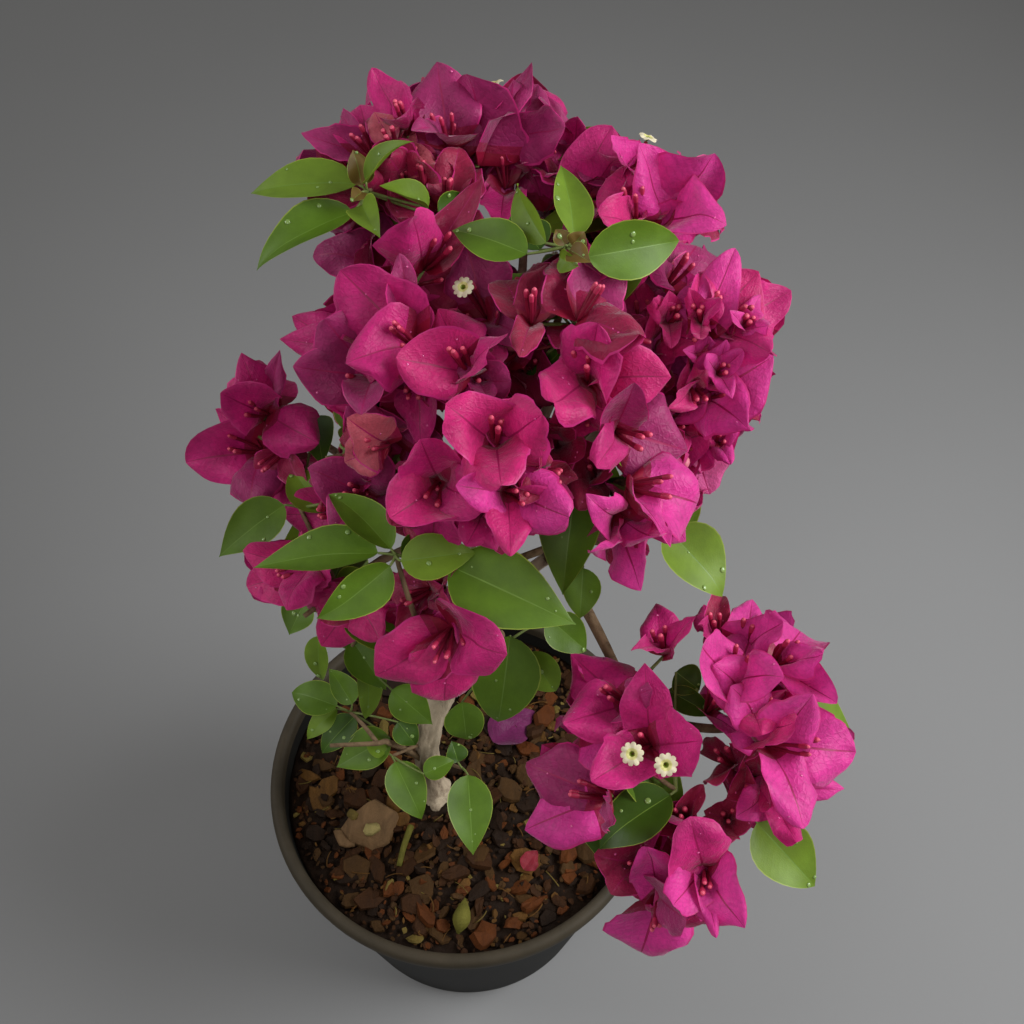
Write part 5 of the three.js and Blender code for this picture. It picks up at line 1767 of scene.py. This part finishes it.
# Potting mix
def mix_height(x, y):
    """The height of the mix, which is level round the trunk's foot and falls away beyond it."""
    foot = TRUNK_PATH[0]
    away = math.hypot(x - foot[0], y - foot[1])
    settled = min(max((away - MIX_LEVEL_REACH) / (pot_inner_radius(MIX_TOP) * 0.7), 0), 1)
    return MIX_TOP + MIX_MOUND * (1 - settled)


def make_bed(materials):
    """The bed under the chips: its rough top, and its side down to the pot's floor."""
    sides = 144
    relief = 2.4
    under_chips = 2.2
    rim = pot_inner_radius(MIX_TOP) - 0.3
    reaches = [0.004, *np.linspace(0.03, 1, 46)]
    profile = [(rim * reach, 0) for reach in reaches]
    points = lathe([*profile, (pot_inner_radius(POT_FLOOR) - 0.5, POT_FLOOR + 0.3)], sides)
    for reach, row in zip(reaches, points):
        for at in row:
            rough = relief * noise.fractal(Vector((at[0] * 0.09, at[1] * 0.09, 1.7)), 0.7, 2.1, 4)
            at[2] = mix_height(at[0], at[1]) - under_chips + rough * min((1.02 - reach) * 8, 1)
    joined = Joined(["chip_black"])
    joined.add_grid(points, ["chip_black"] * sides)
    weld(joined.object("mix_bed", materials, "bark_chips", ["potting_mix"]))


def turned(points, yaw, pitch, roll):
    cy, sy = math.cos(yaw), math.sin(yaw)
    cp, sp = math.cos(pitch), math.sin(pitch)
    cr, sr = math.cos(roll), math.sin(roll)
    spin = np.array([[cy, -sy, 0], [sy, cy, 0], [0, 0, 1]])
    tilt = np.array([[cp, 0, sp], [0, 1, 0], [-sp, 0, cp]])
    bank = np.array([[1, 0, 0], [0, cr, -sr], [0, sr, cr]])
    return points @ (spin @ tilt @ bank).T


def chip_body(rng, length, width, thick):
    """A broken flake of bark: a ragged outline in three layers, closed above and below."""
    count = int(rng.integers(7, 11))
    turns = np.sort(ring_turns(count) + rng.uniform(-0.25, 0.25, count))
    ragged = rng.uniform(0.72, 1.1, count)
    outline = np.stack([np.cos(turns) * length / 2 * ragged, np.sin(turns) * width / 2 * ragged], axis=-1)
    layers = []
    for height, scale in ((-0.5, 0.82), (0.0, 1.0), (0.42, 0.9)):
        layer = np.column_stack([outline * scale * rng.uniform(0.95, 1.05), np.full(count, height * thick)])
        rough = rng.uniform(-0.14, 0.14, count) * thick
        layer[:, 2] += rough + layer[:, 0] ** 2 * 0.004 * rng.uniform(-1, 1)
        layers.append(layer)
    return stacked_body(layers, [0, 0, -0.5 * thick], [0, 0, 0.5 * thick * rng.uniform(0.7, 1.2)])


# The kinds of chips with their shares, and for each layer of them their count, shortest and longest, and
# how deep they sink in
CHIP_SHARES = {
    "chip_dark": 0.34, "chip_rust": 0.18, "chip_tan": 0.09, "chip_grey": 0.17, "chip_black": 0.19,
    "chip_stone": 0.03,
}
CHIP_LAYERS = ((150, 11, 22, 1.6), (460, 5, 11, 1.0), (1500, 1.8, 4.8, 0.3))


def make_chips(materials):
    """Loose chips over the whole bed, apart from the trunk's foot: large, smaller and small ones."""
    kinds = list(CHIP_SHARES)
    joined = Joined(kinds)
    rng = np.random.default_rng(5)
    rim = pot_inner_radius(MIX_TOP) - 1.5
    foot = TRUNK_PATH[0]
    trunk_clearance = 11
    for count, shortest, longest, sink in CHIP_LAYERS:
        for index in range(count):
            length = rng.uniform(shortest, longest)
            radius = math.sqrt((index + 0.5) / count) * (rim - length * 0.42)
            turn = index * GOLDEN_ANGLE + rng.uniform(-0.2, 0.2)
            x, y = radius * math.cos(turn), radius * math.sin(turn)
            if math.hypot(x - foot[0], y - foot[1]) < trunk_clearance + length * 0.4:
                continue
            width = length * rng.uniform(0.4, 0.85)
            thick = length * rng.uniform(0.18, 0.34)
            points, tris = chip_body(rng, length, width, thick)
            points = turned(points, rng.uniform(0, FULL_TURN), rng.normal(0, 0.22), rng.normal(0, 0.26))
            points += np.array([x, y, mix_height(x, y) + thick * 0.3 - sink])
            joined.add_body(points, tris, kinds[int(rng.choice(len(kinds), p=list(CHIP_SHARES.values())))])
    joined.object("mix_chips", materials, "bark_chips", ["potting_mix"], smooth=False)


# Fallen bract and petal: kind, pixels of foot and tip, length and width
FALLEN = (("violet", (493, 742), (548, 696), 34, 25), ("red", (524, 870), (536, 852), 13, 11))
# Stick and leaf bud: pixels with heights above the mix, radii along them, and sides
RODS = (
    ((((399, 866), 1), ((404, 846), 4), ((411, 826), 3)), np.linspace(1.5, 1.9, 8), 8),
    ((((458, 934), 0), ((462, 917), 3), ((465, 898), 2)), (0.6, 2.2, 3.9, 4.8, 5.0, 4.4, 3.3, 1.8, 0.4), 9),
)
# Chunks: pixel, height above the mix, size and kind
CHUNKS = (
    ((371, 826), 2, 34, "chip_pale"), ((371, 830), 8.5, 11, "pebble"), ((353, 815), 6, 9, "chip_stone"),
    ((344, 838), 3, 15, "chip_pale"), ((398, 800), 3, 16, "chip_tan"),
)
STRAWS = 80


def add_straw(joined, index, rng):
    """A thin, bowed fibre that lies on the mix."""
    radius = (pot_inner_radius(MIX_TOP) - 6) * math.sqrt((index + 0.5) / STRAWS)
    turn = index * GOLDEN_ANGLE
    heading = rng.uniform(0, FULL_TURN)
    length = rng.uniform(4, 12)
    across = np.array([math.cos(heading), math.sin(heading), 0]) * length / 2
    centre = np.array([radius * math.cos(turn), radius * math.sin(turn), 0])
    centre[2] = mix_height(centre[0], centre[1]) + rng.uniform(0.5, 2.5)
    bow = np.array([-across[1], across[0], 0]) * rng.uniform(-0.5, 0.5) + UP * rng.uniform(-1, 2)
    tilt = UP * rng.uniform(-1.2, 1.2)
    path = bezier(centre - across - tilt, centre + bow, centre + across + tilt, 5)
    joined.add_tube(path, [rng.uniform(0.2, 0.42)] * 6, 5, rng.choice(["chip_tan", "chip_stone"]))


def make_litter(materials):
    """What lies on the mix: a fallen bract and a red petal, then a green stick, a leaf bud, a pale chunk
    with a pebble on it, smaller chunks and straws."""
    rng = np.random.default_rng(12)
    top = MIX_TOP + 3
    fallen = Joined([kind for kind, *_ in FALLEN])
    for kind, foot, tip, length, width in FALLEN:
        base = seen_at(foot, top + 2)
        sheet = bract_sheet(base, unit(seen_at(tip, top + 5) - base), -UP, length, width, 0.1, rng)
        fallen.add_grid(sheet, stripes(kind, kind, kind), places=BRACT_PLACES)
    fallen.object("fallen_bracts", materials, "bracts")
    litter = Joined(["moss", "chip_tan", "chip_pale", "chip_stone", "pebble"])
    for places, radii, sides in RODS:
        path = [seen_at(pixel, top + above) for pixel, above in places]
        litter.add_tube(smooth_path(path, len(radii)), radii, sides, "moss")
    for pixel, above, size, kind in CHUNKS:
        points, tris = chip_body(rng, size, size * 0.8, size * 0.36)
        points = turned(points, rng.uniform(0, FULL_TURN), 0.2, -0.15) + seen_at(pixel, top + above)
        litter.add_body(points, tris, kind)
    for index in range(STRAWS):
        add_straw(litter, index, rng)
    litter.object("mix_litter", materials, "bark_chips")


# Camera, stage and light
def make_camera():
    data = bpy.data.cameras.new("camera")
    data.sensor_width = 36
    data.lens = FOCAL_PIXELS / PHOTO_SIZE * data.sensor_width
    data.clip_start = 0.01
    camera = bpy.data.objects.new("camera", data)
    camera.location = Vector(CAMERA_AT * MM)
    camera.rotation_euler = (math.pi / 2 - LOOK_DOWN, 0, 0)
    bpy.context.scene.collection.objects.link(camera)
    bpy.context.scene.camera = camera


def make_stage():
    nodes = Nodes("studio_floor")
    nodes.surface(nodes.ramp(nodes.noise(3, 2, 0.5), 0.3, (0.265,) * 3, 0.7, (0.273,) * 3), 0.85, 0.2)
    reach = 6.0
    corners = [(-reach, -reach, 0), (reach, -reach, 0), (reach, reach, 0), (-reach, reach, 0)]
    mesh = bpy.data.meshes.new("studio_floor")
    mesh.from_pydata(corners, [], [(0, 1, 2, 3)])
    mesh.materials.append(nodes.material)
    floor = bpy.data.objects.new("studio_floor", mesh)
    bpy.context.scene.collection.objects.link(floor)


def area_light(name, at, size, power, color, spread):
    """A round soft light that points at the crown."""
    crown = Vector((0.05, 0.0, 0.4))
    data = bpy.data.lights.new(name, "AREA")
    data.shape = "DISK"
    data.size = size
    data.energy = power
    data.color = color
    data.spread = math.radians(spread)
    light = bpy.data.objects.new(name, data)
    light.location = at
    light.rotation_euler = (crown - Vector(at)).to_track_quat("-Z", "Y").to_euler()
    bpy.context.scene.collection.objects.link(light)


def make_lights():
    scene = bpy.context.scene
    world = bpy.data.worlds.new("studio")
    world.use_nodes = True
    background = world.node_tree.nodes["Background"]
    background.inputs["Color"].default_value = (1, 0.985, 0.96, 1)
    background.inputs["Strength"].default_value = 0.28
    scene.world = world
    area_light("key", (0.82, -0.08, 0.93), 0.75, 7.6, (0.97, 0.985, 1), 140)
    area_light("left_fill", (-0.86, 0.09, 0.93), 0.6, 1.1, (0.97, 0.98, 1), 95)
    area_light("front_fill", (-0.25, -0.75, 1.18), 0.7, 0.38, (1, 0.98, 0.96), 64)
    scene.view_settings.view_transform = "Standard"


def main():
    make_camera()
    materials = make_materials()
    make_pot(materials)
    make_bed(materials)
    make_chips(materials)
    make_trunk(materials)
    make_boughs(materials)
    make_litter(materials)
    make_crown(materials)
    make_stage()
    make_lights()


main()
